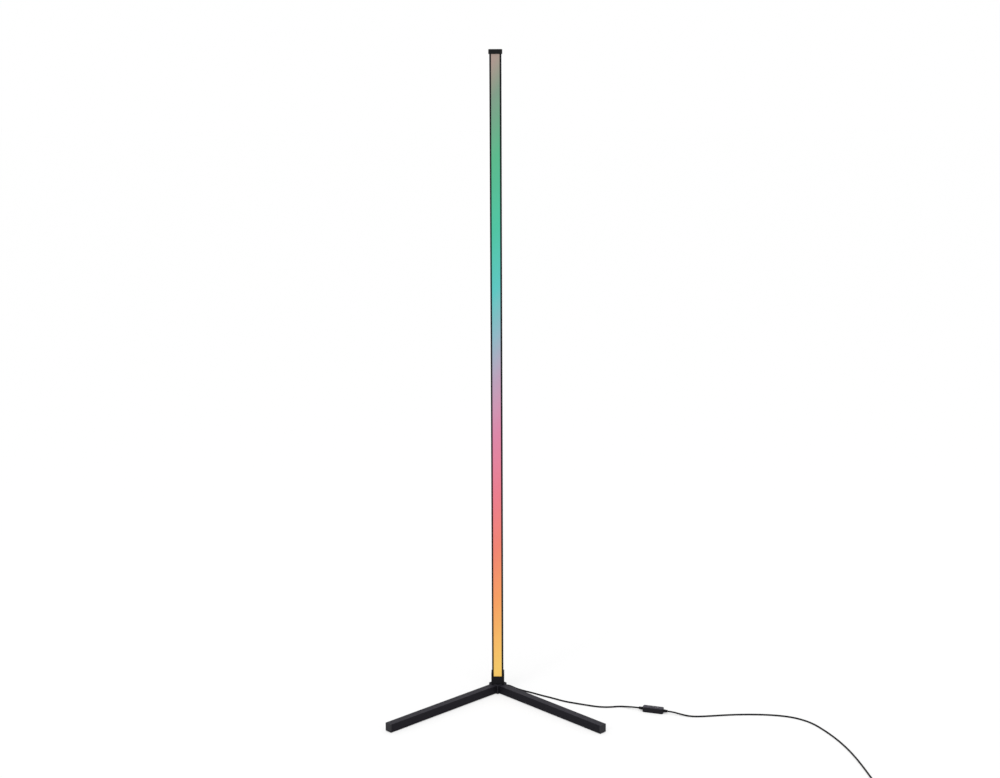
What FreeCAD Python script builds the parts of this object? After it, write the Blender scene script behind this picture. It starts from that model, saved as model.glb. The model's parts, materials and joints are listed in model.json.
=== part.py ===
import FreeCAD, Part
# Corner floor lamp: a slim light pole on a V of two square legs, with an inline controller
# and a plug on its cord. Millimetres, +Z up, X to the right, Y away from the viewer. The
# origin is on the floor, under the axis of the pole.
import math
import os
import re

import Sketcher

Vector = FreeCAD.Vector

sizes = {
    # Pole: an aluminium channel, open to the front, with a closed chamber behind.
    "sectionLength": 345.3,
    "poleWidth": 25.2,
    "poleDepth": 20,
    "poleWall": 1.2,
    "lipReach": 3.6,
    "channelDepth": 11.5,
    "poleCorner": 1.0,
    "holeInset": 9,
    "screwAcross": 6,
    # Light: the diffuser strip, the LED strip and its LED packages.
    "diffuserFit": 0.1,
    "diffuserWall": 1.4,
    "diffuserEdge": 0.5,
    "stripWidth": 12,
    "stripThickness": 0.4,
    "stripInset": 4,
    "ledSide": 5,
    "ledThickness": 1.6,
    # Splice bars and caps of the pole.
    "chamberFit": 0.2,
    "barMargin": 12,
    "bottomCapHead": 4,
    "topCapHeight": 10.2,
    "topCapOverhang": 2.1,
    "topCapCorner": 4,
    "topCapEdge": 1.5,
    # Holder: a socket round the foot of the pole, open to the front above a low lip.
    "holderFit": 0.1,
    "holderWall": 1.8,
    "holderFloor": 6.5,
    "holderHeight": 26.3,
    "holderLip": 18.5,
    "holderCorner": 1.0,
    "holderEdge": 0.4,
    "holderScrewAcross": 7,
    # Hub: a square block, turned to show a corner to the viewer.
    "hubSide": 29,
    "hubHeight": 19.7,
    "hubTurn": 45,
    "hubRoof": 5,
    "hubCavity": 17,
    "hubCorner": 1.5,
    "hubEdge": 0.6,
    "coverSide": 23,
    "coverThickness": 2,
    "coverFit": 0.15,
    "coverScrewAcross": 9.7,
    "leadHoleRadius": 3.8,
    # Legs: square steel tube, bolted to two faces of the hub.
    "legSide": 18,
    "legWall": 2.5,
    "legCorner": 1.2,
    "legLength": 306,
    "legPlugLength": 22,
    "endCapFit": 0.1,
    "endCapPlate": 2,
    "endCapDepth": 12,
    "endCapEdge": 0.8,
    # Rubber pads.
    "padThickness": 0.8,
    "padMargin": 1.5,
    "legPadLength": 40,
    "legPadInset": 8,
    # Screws and bolts.
    "screwRadius": 1.5,
    "screwHeadRadius": 2.6,
    "screwHeadHeight": 1.6,
    "screwReach": 5,
    "holderScrewReach": 11,
    "coverScrewRadius": 1.0,
    "coverScrewHeadRadius": 1.6,
    "coverScrewHeadHeight": 1.0,
    "coverScrewReach": 6,
    "legBoltRadius": 2.5,
    "legBoltHeadRadius": 4.2,
    "legBoltHeadHeight": 3.6,
    "legBoltReach": 20,
    "holeFit": 0.05,
    # Gland and the leads inside the hub.
    "glandHeight": 7,
    "glandRadius": 2.8,
    "glandFlangeRadius": 4.4,
    "glandInnerRadius": 3.3,
    "glandFlangeThickness": 1.2,
    "glandNoseLength": 4,
    "glandNoseRadius": 3.4,
    "leadWidth": 6,
    "leadThickness": 0.8,
    "connectorSide": 7,
    "connectorOffset": 0.7,
    "connectorHeight": 4.5,
    "stripConnectorHeight": 3.5,
    "innerLeadRadius": 1.4,
    # Cord and the coil of its unseen length.
    "cordDiameter": 3.5,
    "groundGap": 0.05,
    "coilInnerRadius": 13.85,
    "turnGap": 0.6,
    "layerGap": 0.5,
    "turnsIn": 3,
    "turnsOut": 3.25,
    "coilTailRun": 14,
    "tieThickness": 1.0,
    "tieWidth": 6,
    "tieFit": 0.3,
    # Inline controller, lying on the floor.
    "controllerLength": 45.5,
    "controllerWidth": 15,
    "controllerHeight": 11.6,
    "controllerWall": 1.4,
    "controllerCorner": 3.5,
    "controllerEdge": 1.0,
    "boardLength": 37,
    "boardWidth": 11.4,
    "boardThickness": 1.0,
    "boardHeight": 3.1,
    "postRadius": 1.95,
    "postAcross": 17,
    "caseScrewRadius": 0.95,
    "caseScrewHeadRadius": 1.5,
    "caseScrewHeadHeight": 0.8,
    "caseScrewRecess": 1.1,
    "caseScrewReach": 5.6,
    "reliefRadius": 3.7,
    "reliefTipRadius": 2.9,
    "reliefNeckRadius": 2.5,
    "reliefLength": 9,
    "reliefFlange": 1.2,
    "grooveWidth": 0.9,
    "grooveDepth": 0.5,
    # Buttons and switches.
    "buttonPitch": 10.5,
    "buttonLength": 6.6,
    "buttonWidth": 6,
    "buttonCorner": 1.2,
    "buttonProud": 0.8,
    "buttonTravel": 0.5,
    "buttonGap": 0.3,
    "buttonFlange": 0.7,
    "buttonFlangeThickness": 0.7,
    "buttonStemRadius": 1.3,
    "switchSide": 4.5,
    "switchHeight": 1.5,
    "lensRadius": 0.7,
    "lensFoot": 0.25,
    "chipHeight": 0.9,
    # Plug.
    "plugBodyLength": 24,
    "plugBodyWidth": 15.4,
    "plugBodyHeight": 8.2,
    "plugCorner": 1.6,
    "plugEdge": 0.5,
    "plugReliefLength": 10,
    "shellLength": 12,
    "shellRoot": 3,
    "shellWidth": 12,
    "shellHeight": 4.5,
    "shellWall": 0.3,
    "shellWindow": 2.2,
    "shellWindowAcross": 2.6,
    "shellWindowReach": 5.6,
    "tongueThickness": 1.85,
    "contactThickness": 0.2,
}

# Where the cord's pieces lie on the floor.
controllerSpot, controllerTurn = (342.8, -115, 0), -17
coilCentre = (724, -512, 0)

ledCount = 40
legSides = {"left": -1, "right": 1}

# Heights and distances that follow from the sizes, as expressions of them.
levels = {
    "hubTop": "padThickness + hubHeight",
    "hubCeiling": "hubTop - hubRoof",
    "coverTop": "padThickness + coverThickness",
    "holderSeat": "hubTop + holderFloor",
    "poleBottom": "holderSeat + bottomCapHead",
    "poleFront": "-poleDepth / 2",
    "poleBack": "poleDepth / 2",
    "poleHalf": "poleWidth / 2",
    "webFront": "poleFront + channelDepth",
    "webBack": "webFront + poleWall",
    "chamberHalf": "poleHalf - poleWall",
    "chamberBack": "poleBack - poleWall",
    "holderHalf": "poleHalf + holderFit + holderWall",
    "holderFront": "poleFront - holderFit - holderWall",
    "holderBack": "poleBack + holderFit + holderWall",
    "hubFace": "hubSide / 2",
    "legMiddle": "padThickness + legSide / 2",
    "legInner": "legSide - 2 * legWall",
    "connectorTop": "glandHeight + connectorHeight / 2",
    "stripBottom": "poleBottom + stripInset",
    "glandInner": "hubCavity / 2 - glandFlangeThickness",
    "glandTip": "hubFace + glandFlangeThickness + glandNoseLength",
    "caseMiddle": "controllerHeight / 2",
    "caseCeiling": "controllerHeight - controllerWall",
    "boardTop": "boardHeight + boardThickness",
    "buttonFlangeTop": "caseCeiling - buttonGap",
    "plugMiddle": "plugBodyHeight / 2",
    "screwHole": "screwRadius + holeFit",
}

doc = FreeCAD.newDocument("CornerLamp")
sheet = doc.addObject("Spreadsheet::Sheet", "Sizes")
for row, (alias, number) in enumerate(sizes.items(), 1):
    sheet.set("A%d" % row, alias)
    sheet.set("B%d" % row, str(number))
    sheet.setAlias("B%d" % row, alias)
doc.recompute()

nodes = []


def formula(text):
    """An expression with each level spelled out and each size read from the sheet."""
    def spelled(word):
        name = word.group(0)
        if name in levels:
            return "(" + formula(levels[name]) + ")"
        return "Sizes." + name if name in sizes else name
    return re.sub(r"[A-Za-z]\w*", spelled, str(text))


def number(text):
    return float(sheet.evalExpression(formula(text)))


def bind(thing, **properties):
    for name, text in properties.items():
        thing.setExpression(name.replace("_", "."), formula(text))
    return thing


def node(thing, name):
    thing.Label = name
    nodes.append(thing)
    return thing


def place(thing, x="0", y="0", z="0", turn="0", axis=Vector(0, 0, 1)):
    """Put a piece at a point, turned about an axis."""
    position = Vector(number(x), number(y), number(z))
    thing.Placement = FreeCAD.Placement(position, FreeCAD.Rotation(axis, number(turn)))
    return thing


def carried(thing, frame):
    """Move a piece from the frame that it was drawn in, such as the turned hub's."""
    thing.Placement = frame.multiply(thing.Placement)
    return thing


# Sketched bodies

def newBody(name):
    body = doc.addObject("PartDesign::Body", name)
    return body


def newSketch(body, plane, offset="0"):
    """A sketch parallel to XY, XZ or YZ, at an offset along X, Y or Z."""
    sketch = body.newObject("Sketcher::SketchObject", "Sketch")
    base = [o for o in body.Origin.OriginFeatures if o.Role == plane + "_Plane"][0]
    sketch.AttachmentSupport = [(base, "")]
    sketch.MapMode = "FlatFace"
    along = "-(%s)" % offset if plane == "XZ" else offset
    sketch.setExpression("AttachmentOffset.Base.z", formula(along))
    return sketch


def pin(sketch, geometry, point, x, y):
    """Fix a point of the sketch at two expressions."""
    for kind, text in (("DistanceX", x), ("DistanceY", y)):
        rule = Sketcher.Constraint(kind, -1, 1, geometry, point, number(text))
        index = sketch.addConstraint(rule)
        sketch.setExpression("Constraints[%d]" % index, formula(text))


def outline(sketch, corners):
    """A closed outline of straight lines through the corners."""
    first = sketch.GeometryCount
    spots = [Vector(number(x), number(y), 0) for x, y in corners]
    for start, end in zip(spots, spots[1:] + spots[:1]):
        sketch.addGeometry(Part.LineSegment(start, end))
    for index, (x, y) in enumerate(corners):
        following = first + (index + 1) % len(corners)
        sketch.addConstraint(Sketcher.Constraint("Coincident", first + index, 2, following, 1))
        pin(sketch, first + index, 1, x, y)
    return sketch


def rectangle(sketch, left, right, bottom, top):
    return outline(sketch, [(left, bottom), (right, bottom), (right, top), (left, top)])


def square(sketch, width, depth, x="0", y="0"):
    left, right = "%s - (%s) / 2" % (x, width), "%s + (%s) / 2" % (x, width)
    bottom, top = "%s - (%s) / 2" % (y, depth), "%s + (%s) / 2" % (y, depth)
    return rectangle(sketch, left, right, bottom, top)


def circle(sketch, x, y, radius):
    centre = Vector(number(x), number(y), 0)
    index = sketch.addGeometry(Part.Circle(centre, Vector(0, 0, 1), number(radius)))
    pin(sketch, index, 3, x, y)
    rule = sketch.addConstraint(Sketcher.Constraint("Radius", index, number(radius)))
    sketch.setExpression("Constraints[%d]" % rule, formula(radius))
    return sketch


def pad(body, sketch, length, back=False):
    """Add material along the sketch's normal, or against it."""
    feature = body.newObject("PartDesign::Pad", "Pad")
    feature.Profile = sketch
    feature.Reversed = back
    bind(feature, Length=length)
    doc.recompute()
    return feature


def pocket(body, sketch, depth, forward=False):
    """Cut against the sketch's normal, or along it, and make sure that it cut."""
    before = body.Shape.Volume
    feature = body.newObject("PartDesign::Pocket", "Pocket")
    feature.Profile = sketch
    feature.Reversed = forward
    bind(feature, Length=depth)
    doc.recompute()
    if body.Shape.Volume > before - 1e-6:
        raise ValueError("a pocket of %s cuts nothing" % body.Name)
    return feature


def edgesWhere(shape, test):
    """The names of the straight edges whose middle and direction pass a test."""
    found = []
    for index, edge in enumerate(shape.Edges, 1):
        if isinstance(edge.Curve, Part.Line):
            start, end = edge.Vertexes[0].Point, edge.Vertexes[-1].Point
            if test((start + end) * 0.5, (end - start).normalize()):
                found.append("Edge%d" % index)
    return found


def roundEdges(body, radius, test):
    """Round the straight edges that pass a test."""
    base = body.Tip
    names = edgesWhere(base.Shape, test)
    if not names:
        raise ValueError("no edge to round on %s" % body.Name)
    feature = body.newObject("PartDesign::Fillet", "Fillet")
    feature.Base = (base, names)
    bind(feature, Radius=radius)
    doc.recompute()
    return feature


def rimEdges(body, place, radius, axis="z"):
    """Round the whole rim of a block at one place along an axis."""
    base = body.Tip
    names = ["Edge%d" % index for index, edge in enumerate(base.Shape.Edges, 1)
             if all(abs(getattr(v.Point, axis) - number(place)) < 0.01 for v in edge.Vertexes)]
    feature = body.newObject("PartDesign::Fillet", "Rim")
    feature.Base = (base, names)
    bind(feature, Radius=radius)
    doc.recompute()
    return feature


def along(axis, *extremes):
    """A test for edges along an axis, whose middle lies at given distances."""
    def test(middle, direction):
        if abs(getattr(direction, axis)) < 0.99:
            return False
        return all(abs(abs(getattr(middle, name)) - number(text)) < 0.01
                   for name, text in extremes)
    return test


# Pieces from primitives

def box(name, width, depth, height, x="0", y="0", z="0"):
    """A box centred on x and y, standing on z."""
    piece = bind(doc.addObject("Part::Box", name), Length=width, Width=depth, Height=height)
    return place(piece, "%s - (%s) / 2" % (x, width), "%s - (%s) / 2" % (y, depth), z)


def rod(name, radius, length, x="0", y="0", z="0"):
    piece = bind(doc.addObject("Part::Cylinder", name), Radius=radius, Height=length)
    return place(piece, x, y, z)


def cone(name, lower, upper, length, z="0"):
    piece = doc.addObject("Part::Cone", name)
    bind(piece, Radius1=lower, Radius2=upper, Height=length)
    return place(piece, z=z)


def fused(name, *pieces):
    whole = doc.addObject("Part::MultiFuse", name)
    whole.Shapes = list(pieces)
    return whole


def cut(name, base, tool):
    whole = doc.addObject("Part::Cut", name)
    whole.Base, whole.Tool = base, tool
    return whole


def group(name, pieces):
    """Identical pieces that share one node, each still its own solid."""
    whole = doc.addObject("Part::Compound", name)
    whole.Links = pieces
    return node(whole, name)


def screw(name, radius, headRadius, headHeight, reach, spot, outward):
    """A button-head screw with a hexagon socket. Its head stands on the spot, outward."""
    shank = rod(name + "Shank", radius, reach, z="-(%s)" % reach)
    rim = rod(name + "Rim", headRadius, "(%s) / 2" % headHeight)
    crown = cone(name + "Crown", headRadius, "(%s) * 0.7" % headRadius,
                 "(%s) / 2" % headHeight, z="(%s) / 2" % headHeight)
    socket = doc.addObject("Part::Prism", name + "Socket")
    bind(socket, Circumradius="(%s) * 0.5" % headRadius, Height=headHeight)
    place(socket, z="(%s) * 0.4" % headHeight)
    piece = cut(name, fused(name + "Blank", shank, rim, crown), socket)
    turn = FreeCAD.Rotation(Vector(0, 0, 1), Vector(*outward))
    piece.Placement = FreeCAD.Placement(Vector(*[number(text) for text in spot]), turn)
    return piece


# Pole

def poleSection(index):
    """One of four like lengths of channel, drilled behind near both ends."""
    body = newBody("pole_section_%d" % (index + 1))
    profile = newSketch(body, "XY")
    lipBack = "poleFront + poleWall"
    outline(profile, [
        ("-poleHalf", "poleFront"), ("-poleHalf", "poleBack"),
        ("poleHalf", "poleBack"), ("poleHalf", "poleFront"),
        ("poleHalf - lipReach", "poleFront"), ("poleHalf - lipReach", lipBack),
        ("chamberHalf", lipBack), ("chamberHalf", "webFront"),
        ("-chamberHalf", "webFront"), ("-chamberHalf", lipBack),
        ("-poleHalf + lipReach", lipBack), ("-poleHalf + lipReach", "poleFront"),
    ])
    rectangle(profile, "-chamberHalf", "chamberHalf", "webBack", "chamberBack")
    pad(body, profile, "sectionLength")
    roundEdges(body, "poleCorner", along("z", ("x", "poleHalf"), ("y", "poleBack")))
    holes = newSketch(body, "XZ", "poleBack")
    for x in ("-screwAcross", "screwAcross"):
        for z in ("holeInset", "sectionLength - holeInset"):
            circle(holes, x, z, "screwHole")
    pocket(body, holes, "poleWall * 2", forward=True)
    return place(node(body, body.Name), z="poleBottom + sectionLength * %d" % index)


def chamberPlug(body, start, length, holeHeights, back=False):
    """The tongue of a cap or bar, drawn by its screws against the chamber's rear wall."""
    tongue = newSketch(body, "XY", start)
    rectangle(tongue, "-chamberHalf + chamberFit", "chamberHalf - chamberFit",
              "webBack + 2 * chamberFit", "chamberBack")
    pad(body, tongue, length, back=back)
    holes = newSketch(body, "XZ", "chamberBack")
    for x in ("-screwAcross", "screwAcross"):
        for z in holeHeights:
            circle(holes, x, z, "screwHole")
    pocket(body, holes, "screwReach", forward=True)


def spliceBar(index):
    body = newBody("splice_bar_%d" % index)
    half = "(holeInset + barMargin)"
    chamberPlug(body, "-" + half, "2 * " + half, ("-holeInset", "holeInset"))
    return place(node(body, body.Name), z="poleBottom + sectionLength * %d" % index)


def diffuser():
    """A hat-shaped strip: its brim hooks behind the lips, its legs stand on the web."""
    body = newBody("light_diffuser")
    face, brim = "poleHalf - lipReach - diffuserFit", "chamberHalf - diffuserFit"
    hook = "poleFront + poleWall + diffuserFit"
    inside = hook + " + diffuserWall"
    profile = newSketch(body, "XY")
    outline(profile, [
        ("-(%s)" % face, "poleFront"), ("-(%s)" % face, hook), ("-(%s)" % brim, hook),
        ("-(%s)" % brim, "webFront"), ("-(%s) + diffuserWall" % brim, "webFront"),
        ("-(%s) + diffuserWall" % brim, inside), (brim + " - diffuserWall", inside),
        (brim + " - diffuserWall", "webFront"), (brim, "webFront"), (brim, hook),
        (face, hook), (face, "poleFront"),
    ])
    pad(body, profile, "sectionLength * 4")
    roundEdges(body, "diffuserEdge", along("z", ("x", face), ("y", "poleDepth / 2")))
    return place(node(body, "light_diffuser"), z="poleBottom")


def lightStrip():
    """The flexible strip stuck to the web, its LED packages and its lead to the hub."""
    length = "sectionLength * 4 - 2 * stripInset"
    strip = box("led_strip", "stripWidth", "stripThickness", length,
                y="webFront - stripThickness / 2", z="stripBottom")
    node(strip, "led_strip")
    packages = []
    for index in range(ledCount):
        height = "stripBottom + (%s) * %s - ledSide / 2" % (length, (index + 0.5) / ledCount)
        packages.append(box("Led", "ledSide", "ledThickness", "ledSide",
                            y="webFront - stripThickness - ledThickness / 2", z=height))
    group("led_packages", packages)
    lead = box("strip_lead", "leadWidth", "leadThickness",
               "stripBottom - connectorTop - stripConnectorHeight",
               y="webFront - leadThickness / 2", z="connectorTop + stripConnectorHeight")
    node(lead, "strip_lead")


def bottomCap():
    body = newBody("bottom_cap")
    head = newSketch(body, "XY", "-bottomCapHead")
    square(head, "poleWidth", "poleDepth")
    circle(head, "0", "0", "leadHoleRadius")
    pad(body, head, "bottomCapHead")
    chamberPlug(body, "-bottomCapHead / 2", "bottomCapHead / 2 + holeInset + barMargin",
                ("holeInset",))
    return place(node(body, "bottom_cap"), z="poleBottom")


def topCap():
    body = newBody("top_cap")
    width, depth = "poleWidth + 2 * topCapOverhang", "poleDepth + 2 * topCapOverhang"
    head = newSketch(body, "XY")
    square(head, width, depth)
    pad(body, head, "topCapHeight")
    roundEdges(body, "topCapCorner", along("z"))
    rimEdges(body, "topCapHeight", "topCapEdge")
    rimEdges(body, "0", "topCapEdge / 2")
    chamberPlug(body, "topCapHeight / 2", "topCapHeight / 2 + holeInset + barMargin",
                ("-holeInset",), back=True)
    return place(node(body, "top_cap"), z="poleBottom + sectionLength * 4")


def poleScrews():
    """Splice screws behind each joint, cap screws, and longer ones through the holder."""
    back = (0, 1, 0)
    splices = []
    for joint in (1, 2, 3):
        for x in ("-screwAcross", "screwAcross"):
            for side in ("- holeInset", "+ holeInset"):
                spot = (x, "poleBack", "poleBottom + sectionLength * %d %s" % (joint, side))
                splices.append(screw("SpliceScrew", "screwRadius", "screwHeadRadius",
                                     "screwHeadHeight", "screwReach", spot, back))
    group("splice_screws", splices)
    caps, clamps = [], []
    for x in ("-screwAcross", "screwAcross"):
        spot = (x, "poleBack", "poleBottom + sectionLength * 4 - holeInset")
        caps.append(screw("CapScrew", "screwRadius", "screwHeadRadius", "screwHeadHeight",
                          "screwReach", spot, back))
        spot = (x, "holderBack", "poleBottom + holeInset")
        clamps.append(screw("ClampScrew", "screwRadius", "screwHeadRadius", "screwHeadHeight",
                            "screwReach + holderWall + holderFit", spot, back))
    group("top_cap_screws", caps)
    group("holder_clamp_screws", clamps)


# Base

def holder():
    body = newBody("pole_holder")
    block = newSketch(body, "XY")
    rectangle(block, "-holderHalf", "holderHalf", "holderFront", "holderBack")
    pad(body, block, "holderHeight")
    roundEdges(body, "holderCorner", along("z"))
    for height in ("holderHeight", "0"):
        rimEdges(body, height, "holderEdge")
    well = newSketch(body, "XY", "holderHeight")
    square(well, "poleWidth + 2 * holderFit", "poleDepth + 2 * holderFit")
    pocket(body, well, "holderHeight - holderFloor")
    mouth = newSketch(body, "XZ", "holderFront")
    half = "poleHalf + holderFit"
    rectangle(mouth, "-(%s)" % half, half, "holderLip", "holderHeight")
    pocket(body, mouth, "holderWall")
    floor = newSketch(body, "XY")
    circle(floor, "0", "0", "leadHoleRadius")
    for x in ("-holderScrewAcross", "holderScrewAcross"):
        circle(floor, x, "0", "screwHole")
    pocket(body, floor, "holderFloor", forward=True)
    rear = newSketch(body, "XZ", "holderBack")
    for x in ("-screwAcross", "screwAcross"):
        circle(rear, x, "holderFloor + bottomCapHead + holeInset", "screwHole")
    pocket(body, rear, "holderWall * 1.5", forward=True)
    return place(node(body, "pole_holder"), z="hubTop")


def hubFrame():
    """The frame of the turned hub: its X runs along the right leg, its Y to the gland."""
    return FreeCAD.Placement(Vector(), FreeCAD.Rotation(Vector(0, 0, 1), -number("hubTurn")))


def hub():
    """A block with a cavity that opens below, under a recessed cover."""
    body = newBody("hub_body")
    block = newSketch(body, "XY", "padThickness")
    square(block, "hubSide", "hubSide")
    pad(body, block, "hubHeight")
    roundEdges(body, "hubCorner", along("z"))
    for height in ("hubTop", "padThickness"):
        rimEdges(body, height, "hubEdge")
    cavity = newSketch(body, "XY", "padThickness")
    square(cavity, "hubCavity", "hubCavity")
    pocket(body, cavity, "hubHeight - hubRoof", forward=True)
    recess = newSketch(body, "XY", "padThickness")
    square(recess, "coverSide", "coverSide")
    pocket(body, recess, "coverThickness", forward=True)
    threads = newSketch(body, "XY", "coverTop")
    for x in ("-coverScrewAcross", "coverScrewAcross"):
        for y in ("-coverScrewAcross", "coverScrewAcross"):
            circle(threads, x, y, "coverScrewRadius + holeFit")
    pocket(body, threads, "coverScrewReach", forward=True)
    roof = newSketch(body, "XY", "hubCeiling")
    circle(roof, "0", "0", "leadHoleRadius")
    for sign in ("", "-"):
        spot = sign + "holderScrewAcross * %s(hubTurn * 1 deg)"
        circle(roof, spot % "cos", spot % "sin", "screwHole")
    pocket(body, roof, "hubRoof", forward=True)
    wall = "hubFace - hubCavity / 2"
    right = newSketch(body, "YZ", "hubFace")
    circle(right, "0", "legMiddle", "legBoltRadius + holeFit")
    pocket(body, right, wall)
    left = newSketch(body, "XZ", "-(hubFace)")
    circle(left, "0", "legMiddle", "legBoltRadius + holeFit")
    pocket(body, left, wall)
    rear = newSketch(body, "XZ", "hubFace")
    circle(rear, "0", "glandHeight", "glandRadius + holeFit")
    pocket(body, rear, wall, forward=True)
    return carried(node(body, "hub_body"), hubFrame())


def hubCover():
    """The plate below the cavity, held by four small countersunk screws."""
    body = newBody("hub_cover")
    plate = newSketch(body, "XY", "padThickness")
    square(plate, "coverSide - 2 * coverFit", "coverSide - 2 * coverFit")
    pad(body, plate, "coverThickness")
    holes = newSketch(body, "XY", "coverTop")
    sinks = newSketch(body, "XY", "padThickness")
    screws = []
    for x in ("-coverScrewAcross", "coverScrewAcross"):
        for y in ("-coverScrewAcross", "coverScrewAcross"):
            circle(holes, x, y, "coverScrewRadius + holeFit")
            circle(sinks, x, y, "coverScrewHeadRadius + holeFit")
            head = "padThickness + coverScrewHeadHeight"
            piece = screw("CoverScrew", "coverScrewRadius", "coverScrewHeadRadius",
                          "coverScrewHeadHeight", "coverScrewReach", (x, y, head), (0, 0, -1))
            screws.append(carried(piece, hubFrame()))
    pocket(body, holes, "coverThickness")
    pocket(body, sinks, "coverScrewHeadHeight", forward=True)
    carried(node(body, "hub_cover"), hubFrame())
    group("hub_cover_screws", screws)


def softPad(name, length, width):
    """A rubber pad with rounded corners, its middle at its own origin."""
    body = newBody(name)
    sketch = newSketch(body, "XY")
    square(sketch, length, width)
    pad(body, sketch, "padThickness")
    roundEdges(body, "padMargin", along("z"))
    return node(body, name)


def holderScrews():
    screws = []
    for x in ("-holderScrewAcross", "holderScrewAcross"):
        screws.append(screw("HolderScrew", "screwRadius", "screwHeadRadius", "screwHeadHeight",
                            "holderScrewReach", (x, "0", "hubCeiling"), (0, 0, -1)))
    group("holder_screws", screws)


def legFrame(side):
    """A leg's frame: its X runs outward along the leg, from the hub's face."""
    turn = -90 + number("hubTurn") * legSides[side]
    rotation = FreeCAD.Rotation(Vector(0, 0, 1), turn)
    start = rotation.multVec(Vector(number("hubFace"), 0, 0))
    return FreeCAD.Placement(start, rotation)


def leg(side):
    tube = newBody("leg_" + side)
    section = newSketch(tube, "YZ")
    square(section, "legSide", "legSide", y="legMiddle")
    square(section, "legInner", "legInner", y="legMiddle")
    pad(tube, section, "legLength")
    middle = number("legMiddle")
    half = number("legSide / 2")
    roundEdges(tube, "legCorner", lambda spot, direction: abs(direction.x) > 0.99
           and abs(abs(spot.y) - half) < 0.01 and abs(abs(spot.z - middle) - half) < 0.01)
    carried(node(tube, "leg_" + side), legFrame(side))

    thread = rod("Thread", "legBoltRadius + holeFit", "legPlugLength")
    thread.Placement = FreeCAD.Placement(Vector(0, 0, middle), FreeCAD.Rotation(Vector(0, 1, 0), 90))
    blank = box("Blank", "legPlugLength", "legInner", "legInner",
                x="legPlugLength / 2", z="legMiddle - legInner / 2")
    plug = cut("leg_plug_" + side, blank, thread)
    carried(node(plug, "leg_plug_" + side), legFrame(side))

    cap = newBody("leg_end_cap_" + side)
    plate = newSketch(cap, "YZ", "legLength")
    square(plate, "legSide", "legSide", y="legMiddle")
    pad(cap, plate, "endCapPlate")
    end = number("legLength + endCapPlate")
    roundEdges(cap, "endCapEdge", lambda spot, direction: abs(spot.x - end) < 0.01
           or abs(direction.x) > 0.99)
    stem = newSketch(cap, "YZ", "legLength")
    square(stem, "legInner - 2 * endCapFit", "legInner - 2 * endCapFit", y="legMiddle")
    pad(cap, stem, "endCapDepth", back=True)
    carried(node(cap, "leg_end_cap_" + side), legFrame(side))

    foot = softPad("leg_pad_" + side, "legPadLength", "legSide - 2 * padMargin")
    place(foot, "legLength - legPadInset - legPadLength / 2")
    carried(foot, legFrame(side))
    bolt = screw("LegBolt", "legBoltRadius", "legBoltHeadRadius", "legBoltHeadHeight",
                 "legBoltReach + hubFace - hubCavity / 2",
                 ("hubCavity / 2 - hubFace", "0", "legMiddle"), (-1, 0, 0))
    return carried(bolt, legFrame(side))


def hubLeads():
    """The gland, moulded on the cord, and the two connector halves in the cavity."""
    wall = "hubFace - hubCavity / 2"
    inner = rod("InnerFlange", "glandInnerRadius", "glandFlangeThickness")
    neck = rod("Neck", "glandRadius", wall, z="glandFlangeThickness")
    outer = rod("OuterFlange", "glandFlangeRadius", "glandFlangeThickness",
                z="glandFlangeThickness + " + wall)
    nose = cone("Nose", "glandNoseRadius", "cordDiameter / 2 + 0.4", "glandNoseLength",
                z="glandFlangeThickness * 2 + " + wall)
    gland = fused("cord_gland", inner, neck, outer, nose)
    rearward = FreeCAD.Rotation(Vector(1, 0, 0), -90)
    spot = Vector(0, number("glandInner"), number("glandHeight"))
    gland.Placement = FreeCAD.Placement(spot, rearward)
    carried(node(gland, "cord_gland"), hubFrame())

    face = "connectorOffset + connectorSide / 2"
    lead = rod("cord_inner_lead", "innerLeadRadius", "glandInner - (%s)" % face)
    spot = Vector(0, number(face), number("glandHeight"))
    lead.Placement = FreeCAD.Placement(spot, rearward)
    carried(node(lead, "cord_inner_lead"), hubFrame())

    lower = box("cord_connector", "connectorSide", "connectorSide", "connectorHeight",
                "-connectorOffset", "connectorOffset", "glandHeight - connectorHeight / 2")
    carried(node(lower, "cord_connector"), hubFrame())
    upper = box("strip_connector", "connectorSide - 0.6", "connectorSide - 0.6",
                "stripConnectorHeight", "-connectorOffset", "connectorOffset", "connectorTop")
    carried(node(upper, "strip_connector"), hubFrame())


# Controller

def controllerFrame():
    return FreeCAD.Placement(Vector(*controllerSpot), FreeCAD.Rotation(Vector(0, 0, 1), controllerTurn))


def caseShell(body, bottom, height, hollowFrom, hollowDepth, upward):
    """Half of the controller's case: a rounded block with a hollow."""
    block = newSketch(body, "XY", bottom)
    square(block, "controllerLength", "controllerWidth")
    pad(body, block, height)
    roundEdges(body, "controllerCorner", along("z"))
    hollow = newSketch(body, "XY", hollowFrom)
    square(hollow, "controllerLength - 2 * controllerWall",
           "controllerWidth - 2 * controllerWall")
    pocket(body, hollow, hollowDepth, forward=upward)


def endNotches(body):
    """Half holes in the end walls, where the strain reliefs sit."""
    for side, outward in (("", True), ("-", False)):
        notch = newSketch(body, "YZ", side + "(controllerLength / 2)")
        circle(notch, "0", "caseMiddle", "reliefNeckRadius + holeFit")
        pocket(body, notch, "controllerWall * 1.2", forward=not outward)


def postHoles(body, plane, radius, depth, forward):
    holes = newSketch(body, "XY", plane)
    for x in ("-postAcross", "postAcross"):
        circle(holes, x, "0", radius)
    pocket(body, holes, depth, forward=forward)


def posts(body, start, length, back=False):
    sketch = newSketch(body, "XY", start)
    for x in ("-postAcross", "postAcross"):
        circle(sketch, x, "0", "postRadius")
    pad(body, sketch, length, back=back)


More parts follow.
